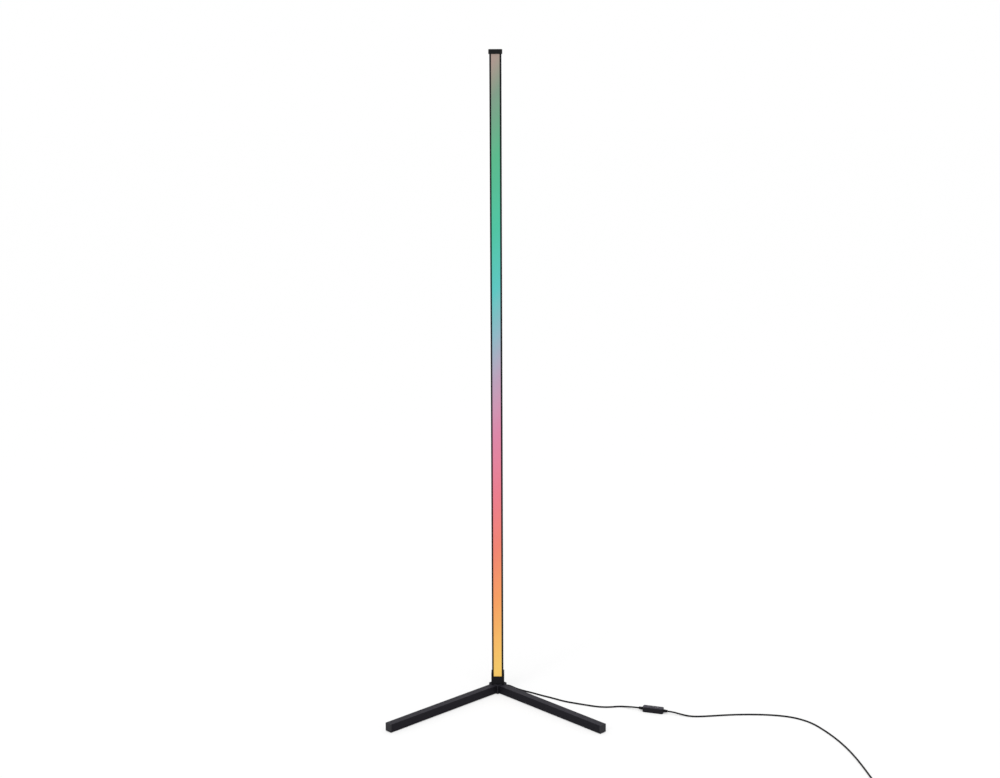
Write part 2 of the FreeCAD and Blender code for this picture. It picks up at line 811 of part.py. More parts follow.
def controllerCase():
    lower = newBody("controller_bottom_housing")
    caseShell(lower, "0", "caseMiddle", "caseMiddle", "caseMiddle - controllerWall", False)
    rimEdges(lower, "0", "controllerEdge")
    posts(lower, "controllerWall / 2", "boardHeight - controllerWall / 2")
    postHoles(lower, "boardHeight", "caseScrewRadius + holeFit", "boardHeight", False)
    postHoles(lower, "0", "caseScrewHeadRadius + holeFit", "caseScrewRecess", True)
    endNotches(lower)
    carried(node(lower, "controller_bottom_housing"), controllerFrame())

    upper = newBody("controller_top_housing")
    block = newSketch(upper, "XY", "caseMiddle")
    square(block, "controllerLength", "controllerWidth")
    pad(upper, block, "controllerHeight - caseMiddle")
    roundEdges(upper, "controllerCorner", along("z"))
    rimEdges(upper, "controllerHeight", "controllerEdge")
    hollow = newSketch(upper, "XY", "caseMiddle")
    square(hollow, "controllerLength - 2 * controllerWall",
           "controllerWidth - 2 * controllerWall")
    pocket(upper, hollow, "caseCeiling - caseMiddle", forward=True)
    posts(upper, "caseCeiling + controllerWall / 2",
          "caseCeiling + controllerWall / 2 - boardTop", back=True)
    postHoles(upper, "boardTop", "caseScrewRadius + holeFit", "caseCeiling - boardTop", True)
    windows = newSketch(upper, "XY", "controllerHeight")
    for x in ("-buttonPitch", "0", "buttonPitch"):
        square(windows, "buttonLength + 2 * buttonGap", "buttonWidth + 2 * buttonGap", x=x)
    circle(windows, "buttonPitch / 2", "0", "lensRadius + holeFit")
    circle(windows, "-buttonPitch / 2", "0", "lensRadius / 2")
    pocket(upper, windows, "controllerWall")
    endNotches(upper)
    carried(node(upper, "controller_top_housing"), controllerFrame())


def controllerInside():
    """The board, its switch bases and chips, the lens, the screws and both reliefs."""
    blank = box("BoardBlank", "boardLength", "boardWidth", "boardThickness", z="boardHeight")
    holes = [rod("BoardHole", "caseScrewRadius + 2 * holeFit", "boardThickness", x=x,
                 z="boardHeight") for x in ("-postAcross", "postAcross")]
    board = cut("controller_board", blank, fused("BoardHoles", *holes))
    carried(node(board, "controller_board"), controllerFrame())

    bases = [box("SwitchBase", "switchSide", "switchSide", "switchHeight", x=x, z="boardTop")
             for x in ("-buttonPitch", "0", "buttonPitch")]
    group("switch_bases", [carried(base, controllerFrame()) for base in bases])
    chips = [box("Chip", "switchSide * 0.8", "switchSide * 0.5", "chipHeight",
                 x=x + "buttonPitch / 2", y=y, z="boardTop")
             for x in ("-", "") for y in ("-boardWidth / 3.4", "boardWidth / 3.4")]
    group("controller_chips", [carried(chip, controllerFrame()) for chip in chips])

    stem = rod("LensStem", "lensRadius", "controllerWall + 0.1", z="caseCeiling")
    foot = rod("LensFoot", "lensRadius + lensFoot", "lensFoot * 2", z="caseCeiling - lensFoot * 2")
    lens = fused("indicator_lens", stem, foot)
    place(lens, "buttonPitch / 2")
    carried(node(lens, "indicator_lens"), controllerFrame())

    screws = []
    for x in ("-postAcross", "postAcross"):
        piece = screw("CaseScrew", "caseScrewRadius", "caseScrewHeadRadius",
                      "caseScrewHeadHeight", "caseScrewReach", (x, "0", "caseScrewRecess"),
                      (0, 0, -1))
        screws.append(carried(piece, controllerFrame()))
    group("controller_screws", screws)


def taperedRelief(name, start, length, lower, upper):
    """A tapered sleeve with four grooves round it, which let it bend."""
    sleeve = cone(name + "Sleeve", lower, upper, length, z=start)
    rings = []
    for share in (0.18, 0.38, 0.58, 0.78):
        floor = "%s + (%s) * %s" % (start, length, share)
        bottom = "%s - (%s - %s) * %s - grooveDepth" % (lower, lower, upper, share)
        outer = rod("RingOuter", lower + " * 1.2", "grooveWidth", z=floor)
        inner = rod("RingInner", bottom, "grooveWidth", z=floor)
        rings.append(cut("Ring", outer, inner))
    return cut(name + "Grooved", sleeve, fused(name + "Rings", *rings))


def controllerRelief(name, sign):
    """A strain relief with a neck through the end wall and a flange inside."""
    flange = rod("Flange", "reliefRadius - 0.2", "reliefFlange")
    neck = rod("ReliefNeck", "reliefNeckRadius", "controllerWall", z="reliefFlange")
    taper = taperedRelief("Taper", "reliefFlange + controllerWall", "reliefLength",
                          "reliefRadius", "reliefTipRadius")
    relief = fused(name, flange, neck, taper)
    start = number("controllerLength / 2 - controllerWall - reliefFlange") * sign
    relief.Placement = FreeCAD.Placement(Vector(start, 0, number("caseMiddle")),
                                         FreeCAD.Rotation(Vector(0, 1, 0), 90 * sign))
    return carried(node(relief, name), controllerFrame())


def button(name, position):
    """A button: its cap through the window, its flange under the wall, its stem below."""
    body = newBody(name)
    flangeBottom = "buttonFlangeTop - buttonFlangeThickness"
    cap = newSketch(body, "XY", "buttonFlangeTop")
    square(cap, "buttonLength", "buttonWidth")
    pad(body, cap, "controllerHeight + buttonProud - (%s)" % "buttonFlangeTop")
    roundEdges(body, "buttonCorner", along("z"))
    rimEdges(body, "controllerHeight + buttonProud", "buttonGap")
    flange = newSketch(body, "XY", flangeBottom)
    square(flange, "buttonLength + 2 * buttonFlange", "buttonWidth + 2 * buttonFlange")
    pad(body, flange, "buttonFlangeThickness")
    stem = newSketch(body, "XY", flangeBottom)
    circle(stem, "0", "0", "buttonStemRadius")
    pad(body, stem, "%s - (boardTop + switchHeight + buttonTravel + buttonGap)" % flangeBottom,
        back=True)
    place(body, position)
    return carried(node(body, name), controllerFrame())


# Cords

def alongRoute(points):
    """Straight runs joined by tangent arcs, each as large as its two runs allow."""
    edges, radii = [], []
    last = points[0]
    for before, corner, after in zip(points, points[1:], points[2:]):
        arriving, leaving = corner - before, after - corner
        shorter = min(arriving.Length, leaving.Length) * 0.45
        turn = arriving.getAngle(leaving)
        radii.append(shorter / math.tan(turn / 2))
        arriving.normalize()
        leaving.normalize()
        start, end = corner - arriving * shorter, corner + leaving * shorter
        inward = (leaving - arriving).normalize()
        middle = corner + inward * radii[-1] * (1 / math.cos(turn / 2) - 1)
        edges.append(Part.LineSegment(last, start).toShape())
        edges.append(Part.Arc(start, middle, end).toShape())
        last = end
    edges.append(Part.LineSegment(last, points[-1]).toShape())
    return edges, radii


def tube(name, edges, note):
    """A round tube along edges, as one piece, with its volume set against its length."""
    path = Part.Wire(edges)
    radius = number("cordDiameter / 2")
    start = edges[0].Vertexes[0].Point
    ahead = edges[0].tangentAt(edges[0].FirstParameter)
    ring = Part.Wire(Part.Circle(start, ahead, radius).toShape())
    piece = doc.addObject("Part::Feature", name)
    piece.Shape = path.makePipeShell([ring], True, False)
    piece.Placement = FreeCAD.Placement()
    expected = math.pi * radius ** 2 * path.Length
    print("%s: length %.1f mm, volume %.4f of section times length, %s"
          % (name, path.Length, piece.Shape.Volume / expected, note))
    return node(piece, name)


def routed(name, points):
    edges, radii = alongRoute(points)
    tube(name, edges, "radii " + " ".join("%.0f" % radius for radius in radii))


def cordRoutes():
    """The two free stretches. Their ends are on the axes of the pieces that they join."""
    ground = number("cordDiameter / 2 + groundGap")
    exit = Vector(0, number("glandTip"), number("glandHeight"))
    rearward = Vector(0, 4.8, 0)
    reach = number("controllerLength / 2 + reliefLength")
    lampTip, plugTip = Vector(-reach, 0, number("caseMiddle")), Vector(reach, 0, number("caseMiddle"))
    onward = Vector(11.5, 0, 0)
    toController = [
        (21.7, 19.4, 4.4), (26.5, 19.6, 3.2), (31.6, 17.9, 1.9), (38.2, 13.0, 0.8),
        (48, 5.4, 0.2), (61, -3.7, 0), (79, -14.5, 0), (100, -29.5, 0), (123, -43.5, 0),
        (148, -61.5, 0), (172, -72.1, 0), (199, -82.9, 0), (225, -92.8, 0), (249, -93.5, 0),
        (270, -88.5, 0), (287.5, -93.0, 1.0),
    ]
    toCoil = [
        (401, -134.2, 1.6), (420, -141.7, 0.1), (440, -142.6, 0), (466, -138.9, 0),
        (506, -132.4, 0), (547, -129.6, 0), (587, -130.7, 0), (624, -137, 0),
        (653, -149.8, 0), (679, -174, 0), (697.7, -211, 0), (714.8, -254.5, 0),
        (727.3, -299, 0), (736.4, -347, 0), (742.4, -394, 0), (747.3, -441, 0),
    ]
    hubSpot, caseSpot = hubFrame().multVec, controllerFrame().multVec
    lifted = [[Vector(x, y, ground + lift) for x, y, lift in route]
              for route in (toController, toCoil)]
    routed("cord_to_controller", [hubSpot(exit), hubSpot(exit + rearward)] + lifted[0]
           + [caseSpot(lampTip - onward), caseSpot(lampTip)])
    routed("cord_to_coil", [caseSpot(plugTip), caseSpot(plugTip + onward)] + lifted[1]
           + [coilStart() - coilHeading(0) * 33, coilStart()])


def coilSpot(angle):
    """The coil's line: in along the lower layer, up where it reverses, out on the upper."""
    pitch = number("cordDiameter + turnGap")
    rise = number("cordDiameter + layerGap")
    lowest = number("cordDiameter / 2 + tieThickness + tieFit / 3")
    past = angle - number("turnsIn") * 2 * math.pi
    quarter = math.pi / 2
    if abs(past) < quarter:
        grown, climbed = past ** 2 / math.pi + math.pi / 4, (1 + math.sin(past)) / 2
    else:
        grown, climbed = abs(past), float(past > 0)
    radius = number("coilInnerRadius") + pitch * grown / (2 * math.pi)
    return Vector(radius * math.cos(angle), -radius * math.sin(angle),
                  lowest + rise * climbed) + Vector(*coilCentre)


def coilHeading(angle):
    step = 1e-4
    return (coilSpot(angle + step) - coilSpot(angle - step)).normalize()


def biarc(start, heading, end, leaving):
    """Two tangent arcs from one point and heading to another."""
    across, both = end - start, heading + leaving
    a, b, c = 4 - both.dot(both), across.dot(both), across.dot(across)
    reach = c / (math.sqrt(b * b + a * c) + b)
    first, second = start + heading * reach, end - leaving * reach
    joint = (first + second) * 0.5
    arcs = []
    for near, corner, far in ((start, first, joint), (joint, second, end)):
        inward = (near + far) * 0.5 - corner
        half = (near - corner).getAngle(inward)
        radius = (near - corner).Length * math.tan(half)
        middle = corner + inward.normalize() * (radius / math.sin(half) - radius)
        arcs.append(Part.Arc(near, middle, far).toShape())
    return arcs


def coilTurns():
    """The angles of the coil's line, a quarter turn apart."""
    quarters = round(4 * (number("turnsIn") + number("turnsOut")))
    return [quarter * math.pi / 2 for quarter in range(quarters + 1)]


def coilStart():
    """Where the straight cord meets the coil, one diameter before its first turn."""
    return coilSpot(0) - coilHeading(0) * number("cordDiameter")


def coilEnd():
    """Where the coil's tail ends, level with the plug, and its heading."""
    last = coilTurns()[-1]
    heading = coilHeading(last)
    landed = coilSpot(last) + heading * number("coilTailRun")
    landed.z = number("plugMiddle")
    return landed, heading


def coil():
    turns = coilTurns()
    edges = [Part.LineSegment(coilStart(), coilSpot(0)).toShape()]
    for start, end in zip(turns, turns[1:]):
        edges += biarc(coilSpot(start), coilHeading(start), coilSpot(end), coilHeading(end))
    landed, heading = coilEnd()
    edges += biarc(coilSpot(turns[-1]), coilHeading(turns[-1]), landed, heading)
    edges.append(Part.LineSegment(landed, landed + heading * number("cordDiameter")).toShape())
    tube("cord_coil", edges, "least gap to itself %.2f mm" % leastGap(turns[-1]))


def leastGap(last):
    """The least gap between turns, from points along the coil's line."""
    step = math.pi / 60
    spots = [coilSpot(step * index) for index in range(int(last / step) + 1)]
    apart = int(math.pi / step)
    nearest = min((one - other).Length for index, one in enumerate(spots)
                  for other in spots[index + apart:])
    return nearest - number("cordDiameter")


def coilTie():
    """A band round the bundle of turns, on the coil's left, standing on the floor."""
    body = newBody("coil_tie")
    pitch = "(cordDiameter + turnGap)"
    across = "((turnsIn - 1) * %s + cordDiameter + 4 * tieFit)" % pitch
    height = "(2 * cordDiameter + layerGap + tieFit)"
    middle = "(coilInnerRadius + turnsIn * %s / 2)" % pitch
    section = newSketch(body, "XZ", "-tieWidth / 2")
    low, high = "0", "%s + 2 * tieThickness" % height
    rectangle(section, "-%s - %s / 2 - tieThickness" % (middle, across),
              "-%s + %s / 2 + tieThickness" % (middle, across), low, high)
    rectangle(section, "-%s - %s / 2" % (middle, across), "-%s + %s / 2" % (middle, across),
              "tieThickness", "%s + tieThickness" % height)
    pad(body, section, "tieWidth", back=True)
    half = number("%s / 2 + tieThickness" % across)
    centre, top = number("-" + middle), number(high)
    roundEdges(body, "tieThickness * 0.9", lambda spot, direction: abs(direction.y) > 0.99
           and abs(abs(spot.x - centre) - half) < 0.01
           and (abs(spot.z) < 0.01 or abs(spot.z - top) < 0.01))
    body.Placement = FreeCAD.Placement(Vector(*coilCentre), FreeCAD.Rotation())
    return node(body, "coil_tie")


# Plug

def plug():
    """The plug at the coil's tail: relief, body, metal shell, tongue and contacts."""
    landed, heading = coilEnd()
    start = landed + heading * number("cordDiameter")
    turn = FreeCAD.Rotation(Vector(1, 0, 0), heading)
    frame = FreeCAD.Placement(start, turn)
    half = "plugBodyHeight / 2"

    relief = taperedRelief("plug_relief", "0", "plugReliefLength", "reliefTipRadius", "reliefRadius")
    relief.Placement = FreeCAD.Placement(Vector(), FreeCAD.Rotation(Vector(0, 1, 0), 90))
    carried(node(relief, "plug_relief"), frame)

    body = newBody("plug_body")
    block = newSketch(body, "YZ", "plugReliefLength")
    square(block, "plugBodyWidth", "plugBodyHeight")
    pad(body, block, "plugBodyLength")
    corners = (number("plugBodyWidth / 2"), number(half))
    roundEdges(body, "plugCorner", lambda spot, direction: abs(direction.x) > 0.99
           and abs(abs(spot.y) - corners[0]) < 0.01 and abs(abs(spot.z) - corners[1]) < 0.01)
    for end in ("plugReliefLength", "plugReliefLength + plugBodyLength"):
        rimEdges(body, end, "plugEdge", "x")
    well = newSketch(body, "YZ", "plugReliefLength + plugBodyLength")
    square(well, "shellWidth + 2 * holeFit", "shellHeight + 2 * holeFit")
    pocket(body, well, "shellRoot")
    carried(node(body, "plug_body"), frame)

    shellStart = "plugReliefLength + plugBodyLength - shellRoot"
    shell = newBody("plug_shell")
    section = newSketch(shell, "YZ", shellStart)
    square(section, "shellWidth", "shellHeight")
    square(section, "shellWidth - 2 * shellWall", "shellHeight - 2 * shellWall")
    pad(shell, section, "shellRoot + shellLength")
    for side, upward in (("", False), ("-", True)):
        windows = newSketch(shell, "XY", side + "(shellHeight / 2)")
        for across in ("-", ""):
            square(windows, "shellWindow", "shellWindow", y=across + "shellWindowAcross",
                   x=shellStart + " + shellRoot + shellWindowReach")
        pocket(shell, windows, "shellWall * 1.5", forward=upward)
    carried(node(shell, "plug_shell"), frame)

    inside = "shellWidth - 2 * (shellWall + holeFit)"
    tongue = newBody("plug_tongue")
    root = newSketch(tongue, "YZ", shellStart)
    square(root, inside, "shellHeight - 2 * (shellWall + holeFit)")
    pad(tongue, root, "shellRoot")
    ceiling = "shellHeight / 2 - shellWall - holeFit"
    blade = newSketch(tongue, "YZ", shellStart)
    rectangle(blade, "-(%s) / 2" % inside, "(%s) / 2" % inside,
              ceiling + " - tongueThickness", ceiling)
    pad(tongue, blade, "shellRoot + shellLength - 1")
    carried(node(tongue, "plug_tongue"), frame)

    contacts = []
    for step in (-1.5, -0.5, 0.5, 1.5):
        contact = box("Contact", "shellLength * 0.6", "shellWidth / 12", "contactThickness",
                      x=shellStart + " + shellRoot + shellLength * 0.5",
                      y="shellWidth / 5.2 * %s" % step,
                      z=ceiling + " - tongueThickness - contactThickness")
        contacts.append(carried(contact, frame))
    group("plug_contacts", contacts)


# Assembly

for index in range(4):
    poleSection(index)
for index in (1, 2, 3):
    spliceBar(index)
diffuser()
lightStrip()
bottomCap()
topCap()
poleScrews()
holder()
hub()
hubCover()
carried(softPad("hub_pad", "hubSide - 2 * padMargin", "hubSide - 2 * padMargin"), hubFrame())
holderScrews()
group("leg_bolts", [leg(side) for side in legSides])
hubLeads()
controllerCase()
controllerInside()
controllerRelief("relief_lamp_side", -1)
controllerRelief("relief_plug_side", 1)
button("button_power", "-buttonPitch")
button("button_mode", "0")
button("button_music", "buttonPitch")

cordRoutes()
coil()
coilTie()
plug()

doc.recompute()
for thing in doc.Objects:
    if {"Invalid", "Error"} & set(thing.State):
        raise ValueError("%s failed: %s" % (thing.Label, thing.State))
os.makedirs("parts", exist_ok=True)
for thing in nodes:
    if thing.Shape.isNull() or not thing.Shape.isValid():
        raise ValueError("%s has no valid shape" % thing.Label)
for thing in nodes:
    thing.Shape.exportStep("parts/%s.step" % thing.Label)
print("%d nodes written" % len(nodes))
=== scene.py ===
import json
import math

import bmesh
import bpy
from mathutils import Matrix, Vector


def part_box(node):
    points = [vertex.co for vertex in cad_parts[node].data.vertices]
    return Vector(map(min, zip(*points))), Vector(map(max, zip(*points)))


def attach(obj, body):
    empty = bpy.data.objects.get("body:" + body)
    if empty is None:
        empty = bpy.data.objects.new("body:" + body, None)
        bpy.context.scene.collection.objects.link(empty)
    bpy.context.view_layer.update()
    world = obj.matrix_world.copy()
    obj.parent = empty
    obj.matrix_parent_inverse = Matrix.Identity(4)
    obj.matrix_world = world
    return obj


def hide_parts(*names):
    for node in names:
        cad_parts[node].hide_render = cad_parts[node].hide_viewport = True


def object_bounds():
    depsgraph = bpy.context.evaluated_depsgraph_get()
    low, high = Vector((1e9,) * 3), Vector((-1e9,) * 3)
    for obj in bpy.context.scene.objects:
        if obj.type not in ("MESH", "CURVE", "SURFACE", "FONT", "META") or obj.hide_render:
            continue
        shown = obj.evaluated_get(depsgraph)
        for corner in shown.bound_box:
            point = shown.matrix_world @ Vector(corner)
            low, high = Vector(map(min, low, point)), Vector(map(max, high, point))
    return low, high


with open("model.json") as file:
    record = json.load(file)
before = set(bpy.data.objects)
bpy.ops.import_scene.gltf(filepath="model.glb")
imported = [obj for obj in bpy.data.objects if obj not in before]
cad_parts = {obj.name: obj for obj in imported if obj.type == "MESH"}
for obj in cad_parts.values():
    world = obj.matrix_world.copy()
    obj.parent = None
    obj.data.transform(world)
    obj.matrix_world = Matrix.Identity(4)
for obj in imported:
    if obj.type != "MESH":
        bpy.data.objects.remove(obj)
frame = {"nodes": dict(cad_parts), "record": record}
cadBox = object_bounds()
nodes = frame["nodes"]
collection = bpy.context.scene.collection
bpy.context.scene.view_settings.view_transform = "Standard"
print("frame loaded,", len(nodes), "nodes")


# Camera, light and floor

cameraSetup = {
    "place": (0.0761, -3.2143, 1.3197),
    "down": 10.936,   # degrees below the horizon
    "left": 1.227,    # degrees to the left of straight ahead
    "roll": -0.205,
    "lens": 54.0,
    "frameWidth": 36,
    "clip": (0.05, 200),
}
studio = {
    "worldLight": 0.72,
    "keyLight": 1.17,
    "keySpread": 50,          # degrees: a wide, soft source
    "keyTurn": (38, 12, -28),
    "stripPower": 6.0,
    "stripSpot": (1.5, -2.2, 1.3),
    "stripSize": (0.35, 2.2),
    "stripAim": (0, 0, 0.9),
}
floorLook = {
    "half": 60.0,
    "colour": (0.99, 0.99, 0.99, 1),
    "roughness": 0.9,
    "ownWhite": 0.6,          # share of the floor's own white that the camera sees
    "contactReach": 0.006,    # this near to the lamp the floor keeps no white of its own
    "contactSamples": 12,
}


def addCamera(setup):
    data = bpy.data.cameras.new("camera")
    data.lens, data.sensor_width = setup["lens"], setup["frameWidth"]
    data.clip_start, data.clip_end = setup["clip"]
    camera = bpy.data.objects.new("camera", data)
    collection.objects.link(camera)
    camera.matrix_world = (
        Matrix.Translation(setup["place"])
        @ Matrix.Rotation(math.radians(setup["left"]), 4, "Z")
        @ Matrix.Rotation(math.radians(90 - setup["down"]), 4, "X")
        @ Matrix.Rotation(math.radians(setup["roll"]), 4, "Z"))
    bpy.context.scene.camera = camera


def mathNode(tree, operation, first, second=None, third=None, clamp=False):
    node = tree.nodes.new("ShaderNodeMath")
    node.operation, node.use_clamp = operation, clamp
    for index, value in enumerate((first, second, third)):
        if isinstance(value, (int, float)):
            node.inputs[index].default_value = value
        elif value is not None:
            tree.links.new(value, node.inputs[index])
    return node.outputs[0]


def addWorld(setup):
    # plain light for the lamp, white where it is seen, mirrored or looked through
    world = bpy.data.worlds.new("studio")
    world.use_nodes = True
    tree = world.node_tree
    tree.nodes.clear()
    path = tree.nodes.new("ShaderNodeLightPath").outputs
    seen = mathNode(tree, "MAXIMUM", path["Is Camera Ray"], path["Is Transmission Ray"])
    shown = mathNode(tree, "MAXIMUM", seen, path["Is Glossy Ray"])
    plain, white = tree.nodes.new("ShaderNodeBackground"), tree.nodes.new("ShaderNodeBackground")
    plain.inputs["Color"].default_value = white.inputs["Color"].default_value = (1, 1, 1, 1)
    plain.inputs["Strength"].default_value = setup["worldLight"]
    mix, out = tree.nodes.new("ShaderNodeMixShader"), tree.nodes.new("ShaderNodeOutputWorld")
    tree.links.new(shown, mix.inputs["Fac"])
    tree.links.new(plain.outputs[0], mix.inputs[1])
    tree.links.new(white.outputs[0], mix.inputs[2])
    tree.links.new(mix.outputs[0], out.inputs["Surface"])
    bpy.context.scene.world = world


def addLights(setup):
    data = bpy.data.lights.new("key", "SUN")
    data.energy, data.angle = setup["keyLight"], math.radians(setup["keySpread"])
    key = bpy.data.objects.new("key", data)
    key.rotation_euler = [math.radians(turn) for turn in setup["keyTurn"]]
    collection.objects.link(key)
    for side in (-1, 1):     # two tall soft strips, for lines of light down the gloss
        data = bpy.data.lights.new("strip", "AREA")
        data.shape = "RECTANGLE"
        data.size, data.size_y = setup["stripSize"]
        data.energy = setup["stripPower"]
        strip = bpy.data.objects.new("strip", data)
        across, back, height = setup["stripSpot"]
        strip.location = (side * across, back, height)
        aim = Vector(setup["stripAim"]) - strip.location
        strip.rotation_euler = aim.to_track_quat("-Z", "Y").to_euler()
        collection.objects.link(strip)


def addFloor(look):
    # white paper: most of what the camera sees of it is its own white, the rest takes the shadow
    half = look["half"]
    mesh = bpy.data.meshes.new("floor")
    mesh.from_pydata([(-half, -half, 0), (half, -half, 0), (half, half, 0), (-half, half, 0)],
                     [], [(0, 1, 2, 3)])
    floor = bpy.data.objects.new("floor", mesh)
    collection.objects.link(floor)
    material = bpy.data.materials.new("floorPaper")
    material.use_nodes = True
    tree = material.node_tree
    surface, out = tree.nodes["Principled BSDF"], tree.nodes["Material Output"]
    surface.inputs["Base Color"].default_value = look["colour"]
    surface.inputs["Roughness"].default_value = look["roughness"]
    surface.inputs["Specular IOR Level"].default_value = 0.0
    path = tree.nodes.new("ShaderNodeLightPath").outputs
    seen = mathNode(tree, "MAXIMUM", path["Is Camera Ray"], path["Is Glossy Ray"])
    near = tree.nodes.new("ShaderNodeAmbientOcclusion")
    near.samples = look["contactSamples"]
    near.inputs["Distance"].default_value = look["contactReach"]
    away = mathNode(tree, "MULTIPLY", near.outputs["AO"], look["ownWhite"])
    share = mathNode(tree, "MULTIPLY", seen, away)
    white, mix = tree.nodes.new("ShaderNodeEmission"), tree.nodes.new("ShaderNodeMixShader")
    white.inputs["Color"].default_value = (1, 1, 1, 1)
    white.inputs["Strength"].default_value = 1
    tree.links.new(share, mix.inputs["Fac"])
    tree.links.new(surface.outputs[0], mix.inputs[1])
    tree.links.new(white.outputs[0], mix.inputs[2])
    tree.links.new(mix.outputs[0], out.inputs["Surface"])
    mesh.materials.append(material)


addCamera(cameraSetup)
addWorld(studio)
addLights(studio)
addFloor(floorLook)
print("camera, light and floor ready")


# Shared effects, as node groups

# the gain and offset that make a mask of a noise or a slope, and how fine each noise is
maskShape = {"grain": (2.2, -0.6), "smudge": (3.0, -1.1), "lines": (2.4, -0.7),
             "upward": (2.5, -1.4), "dustAndSheen": (1.2, 0.2), "rubbedAndLit": (2.6, -0.8),
             "diffuser": (0.10, 0.95), "loops": (0.8, 0.1)}
noiseScale = {"smudge": 38.0, "dustAndSheen": 120.0, "rubbedAndLit": 240.0, "diffuser": 9.0,
              "diffuserGrain": 2600.0, "phosphor": 900.0, "loops": 260.0}
# how far a rubbed edge with its painted highlight or a seam fades, as a share of its width, and how a
# seam looks: its painted shade and its groove
edgeFade = {"rubbedAndLit": 1.3, "seam": 1.4}
seamShadeAndGroove = {"colour": (0.0008, 0.0008, 0.001, 1), "depth": 5.0}


def linear(red, green, blue):
    # screen colour, 0 to 255, as the renderer's own
    def channel(value):
        value /= 255
        return value / 12.92 if value <= 0.04045 else ((value + 0.055) / 1.055) ** 2.4
    return (channel(red), channel(green), channel(blue), 1.0)


def newGroup(name, inputs, outputs):
    group = bpy.data.node_groups.new(name, "ShaderNodeTree")
    for label, kind, value in inputs:
        socket = group.interface.new_socket(label, in_out="INPUT", socket_type="NodeSocket" + kind)
        socket.default_value = value
    for label, kind in outputs:
        group.interface.new_socket(label, in_out="OUTPUT", socket_type="NodeSocket" + kind)
    return group, group.nodes.new("NodeGroupInput"), group.nodes.new("NodeGroupOutput")


def placeGroup(tree, group, values):
    node = tree.nodes.new("ShaderNodeGroup")
    node.node_tree = group
    for label, value in values.items():
        if isinstance(value, bpy.types.NodeSocket):
            tree.links.new(value, node.inputs[label])
        else:
            node.inputs[label].default_value = value
    return node.outputs


def mixColours(tree, amount, first, second, blend="MIX"):
    node = tree.nodes.new("ShaderNodeMix")
    node.data_type, node.blend_type = "RGBA", blend
    for socket, value in ((node.inputs[0], amount), (node.inputs[6], first), (node.inputs[7], second)):
        if isinstance(value, bpy.types.NodeSocket):
            tree.links.new(value, socket)
        else:
            socket.default_value = value
    return node.outputs[2]


def objectSpots(tree):
    return tree.nodes.new("ShaderNodeTexCoord").outputs["Object"]


def splitSpot(tree, vector):
    node = tree.nodes.new("ShaderNodeSeparateXYZ")
    tree.links.new(vector, node.inputs[0])
    return node.outputs


def scaledNoise(tree, vector, scale, detail=3.0, rough=0.55):
    node = tree.nodes.new("ShaderNodeTexNoise")
    node.inputs["Detail"].default_value = detail
    node.inputs["Roughness"].default_value = rough
    if isinstance(scale, (int, float)):
        node.inputs["Scale"].default_value = scale
    else:
        tree.links.new(scale, node.inputs["Scale"])
    tree.links.new(vector, node.inputs["Vector"])
    return node.outputs["Fac"]


def makeGrainGroup():
    # the fine grain of moulded plastic, powder coat and rubber, with faint handling marks
    group, given, out = newGroup("mouldedGrain", [
        ("Colour", "Color", (0.02, 0.02, 0.02, 1)), ("Lift Colour", "Color", (0.05, 0.05, 0.05, 1)),
        ("Grain Scale", "Float", 1500.0), ("Speckle", "Float", 0.3),
        ("Roughness", "Float", 0.5), ("Roughness Spread", "Float", 0.1), ("Smudge", "Float", 0.2)],
        [("Colour", "Color"), ("Roughness", "Float"), ("Height", "Float")])
    spots = objectSpots(group)
    fine = scaledNoise(group, spots, given.outputs["Grain Scale"], 2.0)
    broad = scaledNoise(group, spots, noiseScale["smudge"], 4.0)
    raised = mathNode(group, "MULTIPLY_ADD", fine, *maskShape["grain"], clamp=True)
    patch = mathNode(group, "MULTIPLY_ADD", broad, *maskShape["smudge"], clamp=True)
    lift = mathNode(group, "MULTIPLY", raised, given.outputs["Speckle"])
    colour = mixColours(group, lift, given.outputs["Colour"], given.outputs["Lift Colour"])
    marks = mathNode(group, "MULTIPLY", patch, given.outputs["Smudge"])
    uneven = mathNode(group, "SUBTRACT", raised, marks)
    spread = mathNode(group, "MULTIPLY_ADD", uneven, given.outputs["Roughness Spread"],
                      given.outputs["Roughness"], clamp=True)
    group.links.new(colour, out.inputs["Colour"])
    group.links.new(spread, out.inputs["Roughness"])
    group.links.new(fine, out.inputs["Height"])
    return group


def makeDrawnGroup():
    # the long faint lines of an extruded or brushed metal
    group, given, out = newGroup("drawnLines", [
        ("Colour", "Color", (0.5, 0.5, 0.5, 1)), ("Line Colour", "Color", (0.6, 0.6, 0.6, 1)),
        ("Stretch", "Vector", (900, 900, 6)), ("Contrast", "Float", 0.4),
        ("Roughness", "Float", 0.4), ("Roughness Spread", "Float", 0.1)],
        [("Colour", "Color"), ("Roughness", "Float"), ("Height", "Float")])
    stretched = group.nodes.new("ShaderNodeVectorMath")
    stretched.operation = "MULTIPLY"
    group.links.new(objectSpots(group), stretched.inputs[0])
    group.links.new(given.outputs["Stretch"], stretched.inputs[1])
    lines = scaledNoise(group, stretched.outputs[0], 1.0, 3.0)
    clear = mathNode(group, "MULTIPLY_ADD", lines, *maskShape["lines"], clamp=True)
    amount = mathNode(group, "MULTIPLY", clear, given.outputs["Contrast"])
    colour = mixColours(group, amount, given.outputs["Colour"], given.outputs["Line Colour"])
    spread = mathNode(group, "MULTIPLY_ADD", clear, given.outputs["Roughness Spread"],
                      given.outputs["Roughness"], clamp=True)
    group.links.new(colour, out.inputs["Colour"])
    group.links.new(spread, out.inputs["Roughness"])
    group.links.new(lines, out.inputs["Height"])
    return group


